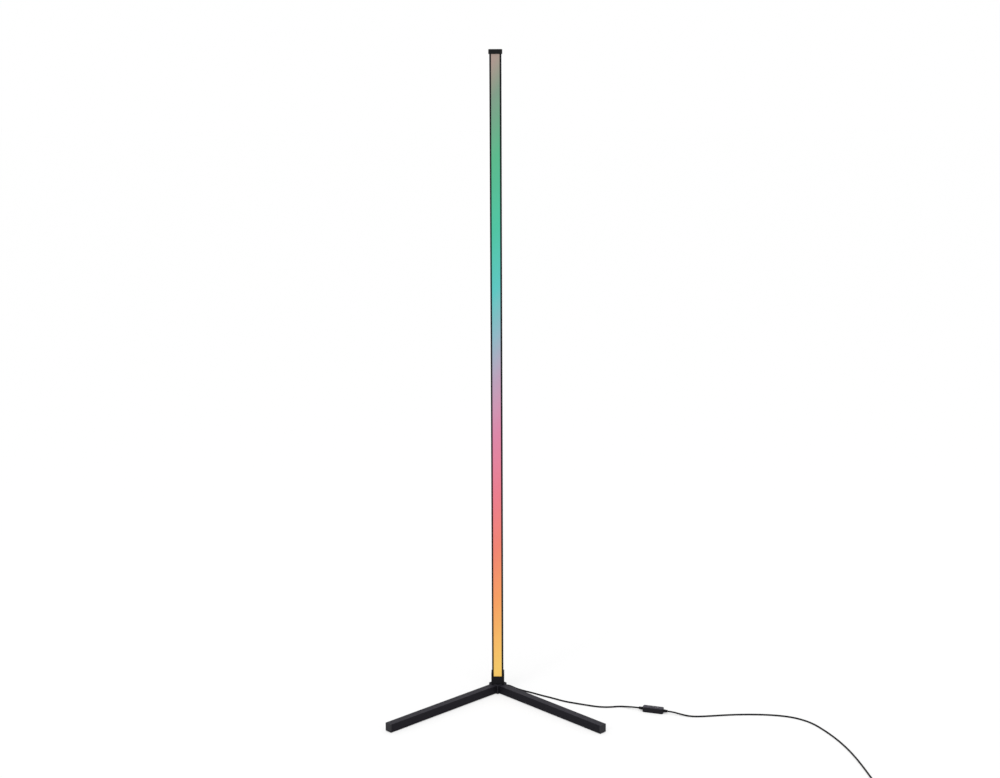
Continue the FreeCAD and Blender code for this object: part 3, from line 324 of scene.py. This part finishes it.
def makeDustAndSheenGroup():
    # a breath of dust on faces that look up, with a painted sheen: these faces are painted lighter and
    # violet, as if lit from above
    group, given, out = newGroup("dustAndPaintedSheen", [
        ("Colour", "Color", (0.02, 0.02, 0.02, 1)), ("Dust And Sheen Colour", "Color", (0.3, 0.3, 0.32, 1)),
        ("Amount", "Float", 0.1)], [("Colour", "Color")])
    facing = splitSpot(group, group.nodes.new("ShaderNodeNewGeometry").outputs["Normal"])["Z"]
    upward = mathNode(group, "MULTIPLY_ADD", facing, *maskShape["upward"], clamp=True)
    cloud = scaledNoise(group, objectSpots(group), noiseScale["dustAndSheen"], 6.0, 0.65)
    cover = mathNode(group, "MULTIPLY_ADD", cloud, *maskShape["dustAndSheen"], clamp=True)
    mask = mathNode(group, "MULTIPLY", mathNode(group, "MULTIPLY", upward, cover),
                    given.outputs["Amount"])
    group.links.new(mixColours(group, mask, given.outputs["Colour"], given.outputs["Dust And Sheen Colour"]),
                    out.inputs["Colour"])
    return group


def makeWearAndEdgeLightGroup():
    # rubbed edges of a block, partly a painted highlight: lighter near two of its three pairs of faces
    # at once
    group, given, out = newGroup("wornAndPaintedLitEdges", [
        ("Spot", "Vector", (0, 0, 0)), ("Half", "Vector", (1, 1, 1)),
        ("Width", "Float", 0.0006), ("Amount", "Float", 0.5)], [("Mask", "Float")])
    place, half = splitSpot(group, given.outputs["Spot"]), splitSpot(group, given.outputs["Half"])
    near = []
    for axis in "XYZ":
        inside = mathNode(group, "SUBTRACT", half[axis], mathNode(group, "ABSOLUTE", place[axis]))
        shares = mathNode(group, "DIVIDE", inside, given.outputs["Width"])
        near.append(mathNode(group, "SUBTRACT", edgeFade["rubbedAndLit"], shares, clamp=True))
    pairs = [mathNode(group, "MULTIPLY", near[first], near[second])
             for first, second in ((0, 1), (1, 2), (2, 0))]
    edges = mathNode(group, "MAXIMUM", mathNode(group, "MAXIMUM", pairs[0], pairs[1]), pairs[2])
    patches = scaledNoise(group, objectSpots(group), noiseScale["rubbedAndLit"], 4.0, 0.6)
    broken = mathNode(group, "MULTIPLY_ADD", patches, *maskShape["rubbedAndLit"], clamp=True)
    mask = mathNode(group, "MULTIPLY", mathNode(group, "MULTIPLY", edges, broken),
                    given.outputs["Amount"])
    group.links.new(mask, out.inputs["Mask"])
    return group


def makeSeamGroup():
    # the fine line where two lengths or two mouldings meet, repeated up the object; it is painted dark
    # as the shade in the gap and sunk as a groove
    group, given, out = newGroup("seamLines", [
        ("First", "Float", 0.0), ("Spacing", "Float", 1.0), ("Width", "Float", 0.0003)],
        [("Mask", "Float")])
    height = splitSpot(group, objectSpots(group))["Z"]
    above = mathNode(group, "SUBTRACT", height, given.outputs["First"])
    half = mathNode(group, "MULTIPLY", given.outputs["Spacing"], 0.5)
    away = mathNode(group, "PINGPONG", above, half)
    shares = mathNode(group, "DIVIDE", away, given.outputs["Width"])
    faded = mathNode(group, "SUBTRACT", edgeFade["seam"], shares, clamp=True)
    group.links.new(faded, out.inputs["Mask"])
    return group


lightBands = {
    # height on the pole in metres, and the colour of the light there
    "brown": (1.405, (172, 152, 142)),
    "sage": (1.330, (128, 157, 136)),
    "green": (1.200, (90, 185, 140)),
    "teal": (1.050, (78, 196, 162)),
    "aqua": (0.920, (92, 198, 192)),
    "mist": (0.820, (144, 185, 198)),
    "mauve": (0.720, (190, 162, 188)),
    "pink": (0.600, (221, 135, 168)),
    "rose": (0.460, (236, 124, 140)),
    "coral": (0.340, (242, 132, 113)),
    "orange": (0.220, (248, 160, 98)),
    "amber": (0.060, (250, 204, 106)),
}


def makeGlowGroup(bands, top):
    # the colour of the light by height, with a soft sideways drift
    group, given, out = newGroup("glowByHeight", [("Drift", "Float", 1.2)], [("Colour", "Color")])
    spot = splitSpot(group, objectSpots(group))
    lean = mathNode(group, "MULTIPLY", spot["X"], given.outputs["Drift"])
    share = mathNode(group, "DIVIDE", mathNode(group, "SUBTRACT", spot["Z"], lean), top, clamp=True)
    ramp = group.nodes.new("ShaderNodeValToRGB")
    stops = sorted(bands.values())
    elements = ramp.color_ramp.elements
    for element, (height, colour) in zip(elements, (stops[0], stops[-1])):
        element.position, element.color = height / top, linear(*colour)
    for height, colour in stops[1:-1]:
        elements.new(height / top).color = linear(*colour)
    group.links.new(share, ramp.inputs["Fac"])
    group.links.new(ramp.outputs["Color"], out.inputs["Colour"])
    return group


grainGroup, drawnGroup, dustAndSheenGroup = makeGrainGroup(), makeDrawnGroup(), makeDustAndSheenGroup()
wearAndEdgeLightGroup, seamGroup = makeWearAndEdgeLightGroup(), makeSeamGroup()
glowGroup = makeGlowGroup(lightBands, cadBox[1][2])
print("effect groups ready")


# Finishes

def newFinish(name, constants):
    # a material with its own Principled shader; constants go straight on its sockets
    material = bpy.data.materials.new(name)
    material.use_nodes = True
    surface = material.node_tree.nodes["Principled BSDF"]
    for label, value in constants.items():
        surface.inputs[label].default_value = value
    return material, material.node_tree, surface


def raiseSurface(tree, surface, height, distance, strength=0.5):
    bump = tree.nodes.new("ShaderNodeBump")
    bump.inputs["Strength"].default_value = strength
    bump.inputs["Distance"].default_value = distance
    tree.links.new(height, bump.inputs["Height"])
    tree.links.new(bump.outputs["Normal"], surface.inputs["Normal"])


def wornAndLitEdgeMask(tree, worn):
    # the wear and the painted edge highlight are worked out in the frame of its own block
    spots = objectSpots(tree)
    if worn["mirrored"]:     # one block each side, alike
        spot, joined = splitSpot(tree, spots), tree.nodes.new("ShaderNodeCombineXYZ")
        tree.links.new(mathNode(tree, "ABSOLUTE", spot["X"]), joined.inputs["X"])
        tree.links.new(spot["Y"], joined.inputs["Y"])
        tree.links.new(spot["Z"], joined.inputs["Z"])
        spots = joined.outputs[0]
    turned = tree.nodes.new("ShaderNodeMapping")
    turned.vector_type = "TEXTURE"
    turned.inputs["Location"].default_value = worn["middle"]
    turned.inputs["Rotation"].default_value = (0, 0, math.radians(worn["turn"]))
    tree.links.new(spots, turned.inputs["Vector"])
    values = {"Spot": turned.outputs[0], "Half": worn["half"], "Width": worn["width"],
              "Amount": worn["amount"]}
    return placeGroup(tree, wearAndEdgeLightGroup, values)["Mask"]


def finishSurface(look, tree, surface, base):
    # seams with painted shade, worn edges with a painted highlight and dust with a painted sheen over
    # a base of grain or lines, then its relief
    shown, height = base["Colour"], base["Height"]
    if "worn" in look:
        # worn edges, partly a painted highlight: edges painted lighter as if they caught the light
        shown = mixColours(tree, wornAndLitEdgeMask(tree, look["worn"]), shown, look["worn"]["colour"])
    if "seams" in look:
        mask = placeGroup(tree, seamGroup, look["seams"])["Mask"]
        # painted shade in the seam's gap, over the groove below
        shown = mixColours(tree, mask, shown, seamShadeAndGroove["colour"])
        groove = mathNode(tree, "MULTIPLY", mask, seamShadeAndGroove["depth"])
        height = mathNode(tree, "SUBTRACT", height, groove)
    if look["dustAndSheen"]:
        # dust, and a painted sheen: faces that look up are painted lighter and violet
        shown = placeGroup(tree, dustAndSheenGroup, {"Colour": shown, "Amount": look["dustAndSheen"],
                                             "Dust And Sheen Colour": look["dustAndSheenColour"]})["Colour"]
    tree.links.new(shown, surface.inputs["Base Color"])
    tree.links.new(base["Roughness"], surface.inputs["Roughness"])
    raiseSurface(tree, surface, height, look["relief"])


def mouldedFinish(look):
    plain = {"grain": 1500.0, "speckle": 0.3, "roughness": 0.5, "spread": 0.1, "smudge": 0.2,
             "relief": 0.00002, "dustAndSheen": 0.0, "dustAndSheenColour": (0.2, 0.19, 0.24, 1), "shader": {}}
    look = {**plain, **look}
    material, tree, surface = newFinish(look["name"], look["shader"])
    base = placeGroup(tree, grainGroup, {
        "Colour": look["colour"], "Lift Colour": look["lift"], "Grain Scale": look["grain"],
        "Speckle": look["speckle"], "Roughness": look["roughness"],
        "Roughness Spread": look["spread"], "Smudge": look["smudge"]})
    finishSurface(look, tree, surface, base)
    return material


def drawnFinish(look):
    plain = {"contrast": 0.4, "roughness": 0.35, "spread": 0.12, "relief": 0.00001, "dustAndSheen": 0.0,
             "shader": {}}
    look = {**plain, **look}
    material, tree, surface = newFinish(look["name"], look["shader"])
    base = placeGroup(tree, drawnGroup, {
        "Colour": look["colour"], "Line Colour": look["line"], "Stretch": look["stretch"],
        "Contrast": look["contrast"], "Roughness": look["roughness"],
        "Roughness Spread": look["spread"]})
    finishSurface(look, tree, surface, base)
    return material


def grey(level, tint=0.0):
    # a grey, tinted towards violet
    return (level, level * (1 - tint * 0.3), level * (1 + tint), 1)


def diffuserFinish():
    look = {"glowPaintedShare": 0.36, "glowStrength": 0.55, "drift": 1.4, "relief": 0.00001, "raised": 0.4}
    material, tree, surface = newFinish("milkyDiffuser", {
        "Roughness": 0.55, "Specular IOR Level": 0.1, "Emission Strength": look["glowStrength"]})
    glow = placeGroup(tree, glowGroup, {"Drift": look["drift"]})["Colour"]
    spots = objectSpots(tree)
    cloud = scaledNoise(tree, spots, noiseScale["diffuser"], 2.0)
    uneven = mathNode(tree, "MULTIPLY_ADD", cloud, *maskShape["diffuser"])
    dimmed = mixColours(tree, 1.0, glow, uneven, "MULTIPLY")
    # painted glow: the base colour is a share of the light's colour, not the diffuser's milky white,
    # so light from outside shows it as glow too
    glowPaintedBase = mixColours(tree, look["glowPaintedShare"], (0, 0, 0, 1), dimmed)
    tree.links.new(glowPaintedBase, surface.inputs["Base Color"])
    tree.links.new(dimmed, surface.inputs["Emission Color"])
    grain = scaledNoise(tree, spots, noiseScale["diffuserGrain"], 2.0)
    raiseSurface(tree, surface, grain, look["relief"], look["raised"])
    return material


def ledFinish():
    # a lens of yellow phosphor that glows in the colour of its height
    look = {"deep": (0.82, 0.70, 0.32, 1), "pale": (0.92, 0.84, 0.55, 1)}
    material, tree, surface = newFinish("ledPackage", {"Roughness": 0.25, "Emission Strength": 0.8})
    speckle = scaledNoise(tree, objectSpots(tree), noiseScale["phosphor"])
    phosphor = mixColours(tree, speckle, look["deep"], look["pale"])
    tree.links.new(phosphor, surface.inputs["Base Color"])
    glow = placeGroup(tree, glowGroup, {"Drift": 0.0})["Colour"]
    tree.links.new(glow, surface.inputs["Emission Color"])
    return material


def stripFinish():
    # white flexible board with copper pads beside each cut line
    look = {"cutSpacing": 0.0342, "padSpacing": 0.003, "padReach": 0.07, "padShare": 0.33,
            "board": (0.86, 0.86, 0.84, 1), "copper": (0.62, 0.36, 0.16, 1)}
    material, tree, surface = newFinish("lightStripBoard", {"Roughness": 0.4})
    spot = splitSpot(tree, objectSpots(tree))
    masks = []
    for axis, spacing, reach in (("Z", look["cutSpacing"], look["padReach"]),
                                 ("X", look["padSpacing"], look["padShare"])):
        share = mathNode(tree, "FRACT", mathNode(tree, "DIVIDE", spot[axis], spacing))
        offset = mathNode(tree, "ABSOLUTE", mathNode(tree, "SUBTRACT", share, 0.5))
        masks.append(mathNode(tree, "LESS_THAN", offset, reach))
    pad = mathNode(tree, "MULTIPLY", *masks)
    shown = mixColours(tree, pad, look["board"], look["copper"])
    tree.links.new(shown, surface.inputs["Base Color"])
    tree.links.new(pad, surface.inputs["Metallic"])
    return material


def boardFinish():
    # green lacquer over faint copper tracks
    material, tree, surface = newFinish("circuitBoard", {"Roughness": 0.3, "Coat Weight": 0.3})
    tracks = tree.nodes.new("ShaderNodeTexBrick")
    pattern = {"Scale": 420.0, "Mortar Size": 0.03, "Color1": (0.012, 0.10, 0.035, 1),
               "Color2": (0.015, 0.13, 0.045, 1), "Mortar": (0.05, 0.24, 0.09, 1)}
    for label, value in pattern.items():
        tracks.inputs[label].default_value = value
    tree.links.new(objectSpots(tree), tracks.inputs["Vector"])
    tree.links.new(tracks.outputs["Color"], surface.inputs["Base Color"])
    return material


def strapFinish():
    # short woven loops of a hook-and-loop strap
    look = {"loop": 0.00038, "dark": grey(0.008), "light": grey(0.05), "relief": 0.00012,
            "raised": 0.8}
    material, tree, surface = newFinish("loopStrap", {"Roughness": 0.95, "Sheen Weight": 0.3})
    spots = objectSpots(tree)
    cells = tree.nodes.new("ShaderNodeTexVoronoi")
    cells.inputs["Scale"].default_value = 1 / look["loop"]
    tree.links.new(spots, cells.inputs["Vector"])
    worn = scaledNoise(tree, spots, noiseScale["loops"])
    shade = mathNode(tree, "MULTIPLY_ADD", cells.outputs["Distance"], *maskShape["loops"],
                     clamp=True)
    tone = mixColours(tree, mathNode(tree, "MULTIPLY", shade, worn), look["dark"], look["light"])
    tree.links.new(tone, surface.inputs["Base Color"])
    raiseSurface(tree, surface, cells.outputs["Distance"], look["relief"], look["raised"])
    return material


# a block whose edges are rubbed and painted lighter as a highlight: its middle and half size in metres
def wornAndLitBlock(middle, half, turn=0.0, mirrored=False, width=0.0007, amount=0.5, level=0.05):
    return {"middle": middle, "half": half, "turn": turn, "mirrored": mirrored, "width": width,
            "amount": amount, "colour": grey(level, 0.15)}


controller = {"middle": (0.3428, -0.115), "turn": -17, "size": (0.0455, 0.015, 0.0116)}
legRun = {"start": 0.0145, "length": 0.306, "side": 0.018, "lift": 0.0008}
legMiddle = (legRun["start"] + legRun["length"] / 2) * math.sqrt(0.5)
legHeight = legRun["lift"] + legRun["side"] / 2
sectionLow, sectionHigh = (corner[2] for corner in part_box("pole_section_1"))
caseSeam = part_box("controller_bottom_housing")[1][2]

mouldedLooks = {
    "strip_lead": {"name": "whiteRibbon", "colour": grey(0.78), "lift": grey(0.7), "grain": 900.0},
    "black_plastic": {"name": "blackPlastic", "colour": grey(0.010, 0.15), "lift": grey(0.02)},
    "gloss_cap": {
        "name": "pianoBlack", "colour": grey(0.004, 0.1), "lift": grey(0.006), "grain": 700.0,
        "speckle": 0.1, "roughness": 0.06, "spread": 0.05, "smudge": 0.5, "relief": 0.000002,
        "dustAndSheen": 0.03, "shader": {"Specular IOR Level": 0.15}},
    "holder": {
        "name": "satinHolder", "colour": grey(0.0055, 0.2), "lift": grey(0.011, 0.2),
        "grain": 1700.0, "roughness": 0.34, "spread": 0.12, "smudge": 0.4, "relief": 0.000012,
        "dustAndSheen": 0.03, "shader": {"Specular IOR Level": 0.08},
        "worn": wornAndLitBlock((0, 0, 0.03365), (0.0145, 0.0119, 0.01315), amount=0.35, level=0.03)},
    "base_metal": {
        "name": "powderCoatHub", "colour": grey(0.0045, 0.25), "lift": grey(0.011, 0.2),
        "grain": 1300.0, "speckle": 0.4, "spread": 0.16, "smudge": 0.3, "relief": 0.00003,
        "dustAndSheen": 0.06, "shader": {"Specular IOR Level": 0.1, "Specular Tint": (0.9, 0.86, 1, 1)},
        "worn": wornAndLitBlock((0, 0, 0.01065), (0.0145, 0.0145, 0.00985), turn=45, width=0.0012,
                          amount=0.7)},
    "leg": {
        "name": "powderCoatLeg", "colour": grey(0.0045, 0.3), "lift": grey(0.012, 0.25),
        "grain": 1300.0, "speckle": 0.4, "roughness": 0.52, "spread": 0.16, "smudge": 0.3,
        "relief": 0.00003, "dustAndSheen": 0.10,
        "shader": {"Specular IOR Level": 0.11, "Specular Tint": (0.88, 0.84, 1, 1)},
        "worn": wornAndLitBlock((legMiddle, -legMiddle, legHeight),
                          (legRun["length"] / 2, legRun["side"] / 2, legRun["side"] / 2),
                          turn=-45, mirrored=True, amount=0.3, level=0.03)},
    "end_cap": {
        "name": "mouldedEndCap", "colour": grey(0.017, 0.15), "lift": grey(0.028, 0.15),
        "grain": 1600.0, "speckle": 0.35, "roughness": 0.48, "spread": 0.12, "smudge": 0.3,
        "dustAndSheen": 0.05, "shader": {"Specular IOR Level": 0.12}},
    "rubber_pad": {
        "name": "rubberPad", "colour": grey(0.014), "lift": grey(0.03), "grain": 2200.0,
        "speckle": 0.5, "roughness": 0.85, "smudge": 0.3, "relief": 0.00005,
        "shader": {"Specular IOR Level": 0.2}},
    "cord_rubber": {
        "name": "softBlackCord", "colour": grey(0.004, 0.15), "lift": grey(0.010, 0.15),
        "grain": 1900.0, "roughness": 0.42, "spread": 0.12, "smudge": 0.3, "relief": 0.00001,
        "dustAndSheen": 0.02, "shader": {"Specular IOR Level": 0.08}},
    "connector": {"name": "ivoryNylon", "colour": grey(0.74), "lift": grey(0.68), "grain": 900.0,
                  "roughness": 0.4},
    "controller_case": {
        "name": "texturedCase", "colour": grey(0.006, 0.2), "lift": grey(0.022, 0.2),
        "grain": 2400.0, "speckle": 0.5, "spread": 0.15, "smudge": 0.3, "relief": 0.00004,
        "dustAndSheen": 0.28, "shader": {"Specular IOR Level": 0.1},
        "seams": {"First": caseSeam, "Spacing": 1.0, "Width": 0.00018},
        "worn": wornAndLitBlock((*controller["middle"], controller["size"][2] / 2),
                          tuple(side / 2 for side in controller["size"]), controller["turn"],
                          amount=0.35, level=0.04)},
    "button": {
        "name": "satinButton", "colour": grey(0.03, 0.15), "lift": grey(0.05, 0.15),
        "grain": 2600.0, "roughness": 0.36, "smudge": 0.5, "relief": 0.00001, "dustAndSheen": 0.12,
        "shader": {"Specular IOR Level": 0.2}},
    "mark": {
        "name": "paleMark", "colour": grey(0.34, 0.05), "lift": grey(0.42, 0.05),
        "grain": 2600.0, "roughness": 0.45, "relief": 0.00001,
        "shader": {"Specular IOR Level": 0.2}},
    "chip": {"name": "chipEpoxy", "colour": grey(0.02), "lift": grey(0.035), "grain": 2500.0,
             "roughness": 0.6},
    "lens": {
        "name": "clearLens", "colour": grey(0.55), "lift": grey(0.6), "grain": 900.0,
        "speckle": 0.1, "roughness": 0.12, "spread": 0.04,
        "shader": {"Transmission Weight": 0.5, "IOR": 1.49}},
    "plug_body": {
        "name": "plugMoulding", "colour": grey(0.010, 0.15), "lift": grey(0.022, 0.1),
        "grain": 2200.0, "speckle": 0.4, "roughness": 0.45, "spread": 0.14, "smudge": 0.4,
        "relief": 0.00003, "dustAndSheen": 0.05, "shader": {"Specular IOR Level": 0.25}},
    "plug_tongue": {"name": "whiteTongue", "colour": grey(0.78), "lift": grey(0.72),
                    "grain": 1200.0, "roughness": 0.42},
}
drawnLooks = {
    "pole": {
        "name": "blackExtrusion", "colour": grey(0.0045, 0.2), "line": grey(0.009, 0.2),
        "stretch": (1400, 1400, 9), "roughness": 0.36, "spread": 0.14,
        "shader": {"Specular IOR Level": 0.08},
        "seams": {"First": sectionLow, "Spacing": sectionHigh - sectionLow, "Width": 0.0003},
        "worn": wornAndLitBlock((0, 0, 0.721), (0.0126, 0.0100, 0.690), width=0.0004, amount=0.35,
                          level=0.035)},
    "bare_aluminium": {"name": "millAluminium", "colour": grey(0.60), "line": grey(0.72),
                       "stretch": (1300, 1300, 14), "roughness": 0.3, "shader": {"Metallic": 1.0}},
    "black_screw": {"name": "blackenedSteel", "colour": grey(0.02, 0.1), "line": grey(0.05),
                    "stretch": (900, 900, 900), "roughness": 0.32, "shader": {"Metallic": 0.8}},
    "bare_steel": {"name": "zincSteel", "colour": grey(0.42), "line": grey(0.56),
                   "stretch": (700, 700, 700), "roughness": 0.28, "shader": {"Metallic": 1.0}},
    "plug_shell": {"name": "nickelShell", "colour": grey(0.36), "line": grey(0.48),
                   "stretch": (60, 900, 900), "roughness": 0.22, "spread": 0.12,
                   "shader": {"Metallic": 1.0}},
    "contact": {"name": "goldContact", "colour": (0.72, 0.48, 0.16, 1),
                "line": (0.84, 0.60, 0.25, 1), "stretch": (60, 900, 900), "roughness": 0.22,
                "shader": {"Metallic": 1.0}},
}
finishes = {slot: mouldedFinish(look) for slot, look in mouldedLooks.items()}
finishes.update({slot: drawnFinish(look) for slot, look in drawnLooks.items()})
finishes.update({"diffuser": diffuserFinish(), "led": ledFinish(), "strip": stripFinish(),
                 "board": boardFinish(), "tie": strapFinish()})

for part in frame["record"]["subparts"]:
    slots = nodes[part["node"]].data.materials
    slots.clear()
    slots.append(finishes[part["material_slot"]])


# Small pieces that stand on the solids

def newPiece(name, shape, body, finish, smooth=False):
    mesh = bpy.data.meshes.new(name)
    bmesh.ops.recalc_face_normals(shape, faces=shape.faces)
    shape.to_mesh(mesh)
    shape.free()
    for face in mesh.polygons:
        face.use_smooth = smooth
    piece = bpy.data.objects.new(name, mesh)
    collection.objects.link(piece)
    mesh.materials.append(finishes[finish])
    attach(piece, body)
    return piece


def middleOf(name):
    low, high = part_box(name)
    return [(a + b) / 2 for a, b in zip(low, high)], high[2]


def circleOutline(radius, x=0.0, y=0.0, count=24):
    turns = [2 * math.pi * step / count for step in range(count)]
    return [(x + radius * math.cos(turn), y + radius * math.sin(turn)) for turn in turns]


def barOutline(width, low, high, x=0.0):
    return [(x - width / 2, low), (x + width / 2, low), (x + width / 2, high), (x - width / 2, high)]


def openRingOutline(outer, inner, gap, count=36):
    # a ring with a gap at its top, in degrees
    turns = [math.radians(90 + gap / 2 + (360 - gap) * step / count) for step in range(count + 1)]
    return ([(outer * math.cos(turn), outer * math.sin(turn)) for turn in turns]
            + [(inner * math.cos(turn), inner * math.sin(turn)) for turn in reversed(turns)])


# raised signs of a plain kind: a switch, mixed colours and the beat of a sound
markSetup = {"sunk": 0.00005, "proud": 0.00012}
buttonMarks = {
    "button_power": [openRingOutline(0.00135, 0.00103, 76), barOutline(0.00032, 0.0003, 0.00155)],
    "button_mode": [circleOutline(0.00045, 0.00085 * math.sin(math.radians(turn)),
                                  0.00085 * math.cos(math.radians(turn)))
                    for turn in (0, 120, 240)],
    "button_music": [barOutline(0.00034, -reach, reach, x)
                     for x, reach in ((-0.00105, 0.0005), (-0.00035, 0.0013),
                                      (0.00035, 0.0008), (0.00105, 0.0011))],
}


def addMark(button, outlines):
    middle, top = middleOf(button)
    turn = Matrix.Rotation(math.radians(controller["turn"]), 4, "Z")
    shape = bmesh.new()
    for outline in outlines:
        rings = []
        for height in (top - markSetup["sunk"], top + markSetup["proud"]):
            base = Vector((middle[0], middle[1], height))
            rings.append([shape.verts.new(base + turn @ Vector((x, y, 0))) for x, y in outline])
        shape.faces.new(rings[0])
        shape.faces.new(rings[1])
        for index in range(len(outline)):
            shape.faces.new([rings[0][index - 1], rings[0][index], rings[1][index],
                             rings[1][index - 1]])
    newPiece(button.replace("button_", "") + "Mark", shape, button, "mark")


for button, outlines in buttonMarks.items():
    addMark(button, outlines)

plugRibs = {"count": 6, "pitch": 0.0021, "back": 0.0034, "across": 0.0077, "turn": 1.375,
            "size": (0.0010, 0.0008, 0.0050), "round": 0.0003}


def addPlugRibs(setup):
    # finger grips down both sides of the plug's body
    middle = middleOf("plug_body")[0]
    turn = Matrix.Rotation(math.radians(setup["turn"]), 4, "Z")
    shape = bmesh.new()
    for side in (-1, 1):
        for index in range(setup["count"]):
            run = (index - (setup["count"] - 1) / 2) * setup["pitch"] + setup["back"]
            place = (Matrix.Translation(middle) @ turn
                     @ Matrix.Translation((run, side * setup["across"], 0))
                     @ Matrix.Diagonal((*setup["size"], 1)))
            bmesh.ops.create_cube(shape, size=1.0, matrix=place)
    bmesh.ops.bevel(shape, geom=shape.edges[:], offset=setup["round"], segments=3, profile=0.5,
                    affect="EDGES", clamp_overlap=True)
    newPiece("plugRibs", shape, "lamp", "plug_body", smooth=True)


addPlugRibs(plugRibs)

strapEnd = {"width": 0.006, "thick": 0.0009, "back": 0.0035, "length": 0.0085, "curl": 0.0007,
            "curlFrom": 0.55, "curlRun": 0.45, "tipLeast": 0.03, "sunk": 0.00002, "steps": 14}


def addStrapEnd(setup):
    # the free end of the strap, lying on its own band, with a rounded and slightly lifted tip
    middle, top = middleOf("coil_tie")
    shape = bmesh.new()
    rings = []
    for step in range(setup["steps"] + 1):
        share = step / setup["steps"]
        run = share * setup["length"]
        beyond = max(0.0, run - (setup["length"] - setup["width"] / 2)) / (setup["width"] / 2)
        half = setup["width"] / 2 * math.sqrt(max(setup["tipLeast"], 1 - beyond ** 2))
        lift = setup["curl"] * max(0.0, share - setup["curlFrom"]) ** 2 / setup["curlRun"] ** 2
        rings.append([shape.verts.new((middle[0] - setup["back"] + run, middle[1] + across,
                                       top + lift + height))
                      for across, height in ((-half, -setup["sunk"]), (half, -setup["sunk"]),
                                             (half, setup["thick"]), (-half, setup["thick"]))])
    for before, after in zip(rings, rings[1:]):
        for index in range(4):
            shape.faces.new([before[index - 1], before[index], after[index], after[index - 1]])
    shape.faces.new(rings[0])
    shape.faces.new(rings[-1])
    newPiece("strapEnd", shape, "lamp", "tie")


addStrapEnd(strapEnd)
print("marks, ribs and strap end made")


# Cords

cordSetup = {"diameter": 0.0035, "ground": 0.0018, "lampLength": 0.335, "plugLength": 1.46,
             "roundness": 5, "smoothness": 8}
coilSetup = {"centre": (0.724, -0.512), "inner": 0.01385, "pitch": 0.0041, "layer": 0.0040,
             "base": 0.00285, "turnsIn": 3, "turnsOut": 3.25, "perTurn": 16, "plugLevel": 0.0041,
             "nudge": 1e-4, "leadIn": (0.0365, 0.0035), "leadOut": (0.0045, 0.0095, 0.014, 0.0175)}

# the route on the floor, in metres: x, y and the height above a lying cord
lampRoute = [
    (0.01393, 0.01393, 0.0052), (0.01732, 0.01732, 0.0052), (0.0217, 0.0194, 0.0044),
    (0.0265, 0.0196, 0.0032), (0.0316, 0.0179, 0.0019), (0.0382, 0.0130, 0.0008),
    (0.048, 0.0054, 0.0002), (0.061, -0.0037, 0), (0.079, -0.0145, 0), (0.100, -0.0295, 0),
    (0.123, -0.0435, 0), (0.148, -0.0615, 0), (0.172, -0.0721, 0), (0.199, -0.0829, 0),
    (0.225, -0.0928, 0), (0.249, -0.0935, 0), (0.270, -0.0885, 0), (0.2875, -0.0930, 0.0010),
    (0.30144, -0.10236, 0.0040), (0.31244, -0.10572, 0.0040),
]
plugRoute = [
    (0.37316, -0.12428, 0.0040), (0.38416, -0.12764, 0.0040), (0.401, -0.1342, 0.0016),
    (0.420, -0.1417, 0.0001), (0.440, -0.1426, 0), (0.466, -0.1389, 0), (0.506, -0.1324, 0),
    (0.547, -0.1296, 0), (0.587, -0.1307, 0), (0.624, -0.137, 0), (0.653, -0.1498, 0),
    (0.679, -0.174, 0), (0.6977, -0.211, 0), (0.7148, -0.2545, 0), (0.7273, -0.299, 0),
    (0.7364, -0.347, 0), (0.7424, -0.394, 0), (0.7473, -0.441, 0),
]


def coilPoint(setup, angle):
    # in along the lower layer, up in the half turn where it reverses, out on the upper one
    past = angle - setup["turnsIn"] * 2 * math.pi
    if abs(past) < math.pi / 2:
        grown, climbed = past ** 2 / math.pi + math.pi / 4, (1 + math.sin(past)) / 2
    else:
        grown, climbed = abs(past), float(past > 0)
    radius = setup["inner"] + setup["pitch"] * grown / (2 * math.pi)
    return Vector((setup["centre"][0] + radius * math.cos(angle),
                   setup["centre"][1] - radius * math.sin(angle),
                   setup["base"] + setup["layer"] * climbed))


def coilPoints(setup):
    steps = round((setup["turnsIn"] + setup["turnsOut"]) * setup["perTurn"])
    last = 2 * math.pi * steps / setup["perTurn"]
    turns = [coilPoint(setup, last * step / steps) for step in range(steps + 1)]
    into = (coilPoint(setup, setup["nudge"]) - turns[0]).normalized()
    leaving = (turns[-1] - coilPoint(setup, last - setup["nudge"])).normalized()
    before = [turns[0] - into * run for run in setup["leadIn"]]
    after = [turns[-1] + leaving * run for run in setup["leadOut"]]
    for spot in after[1:]:
        spot.z = setup["plugLevel"]
    return before + turns + after


def layCord(name, points):
    curve = bpy.data.curves.new(name, "CURVE")
    curve.dimensions = "3D"
    curve.bevel_depth = cordSetup["diameter"] / 2
    curve.bevel_resolution = cordSetup["roundness"]
    curve.resolution_u = cordSetup["smoothness"]
    curve.use_fill_caps = True
    spline = curve.splines.new("NURBS")
    spline.points.add(len(points) - 1)
    for point, place in zip(spline.points, points):
        point.co = (*place, 1)
    spline.order_u = 3
    spline.use_endpoint_u = True
    cord = bpy.data.objects.new(name, curve)
    collection.objects.link(cord)
    curve.materials.append(finishes["cord_rubber"])
    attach(cord, "lamp")
    return cord


def lifted(route):
    return [Vector((x, y, cordSetup["ground"] + lift)) for x, y, lift in route]


lampCord = layCord("lampCord", lifted(lampRoute))
plugCord = layCord("plugCord", lifted(plugRoute) + coilPoints(coilSetup))
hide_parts("cord_to_controller")
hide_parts("cord_to_coil", "cord_coil")
print("cords laid")
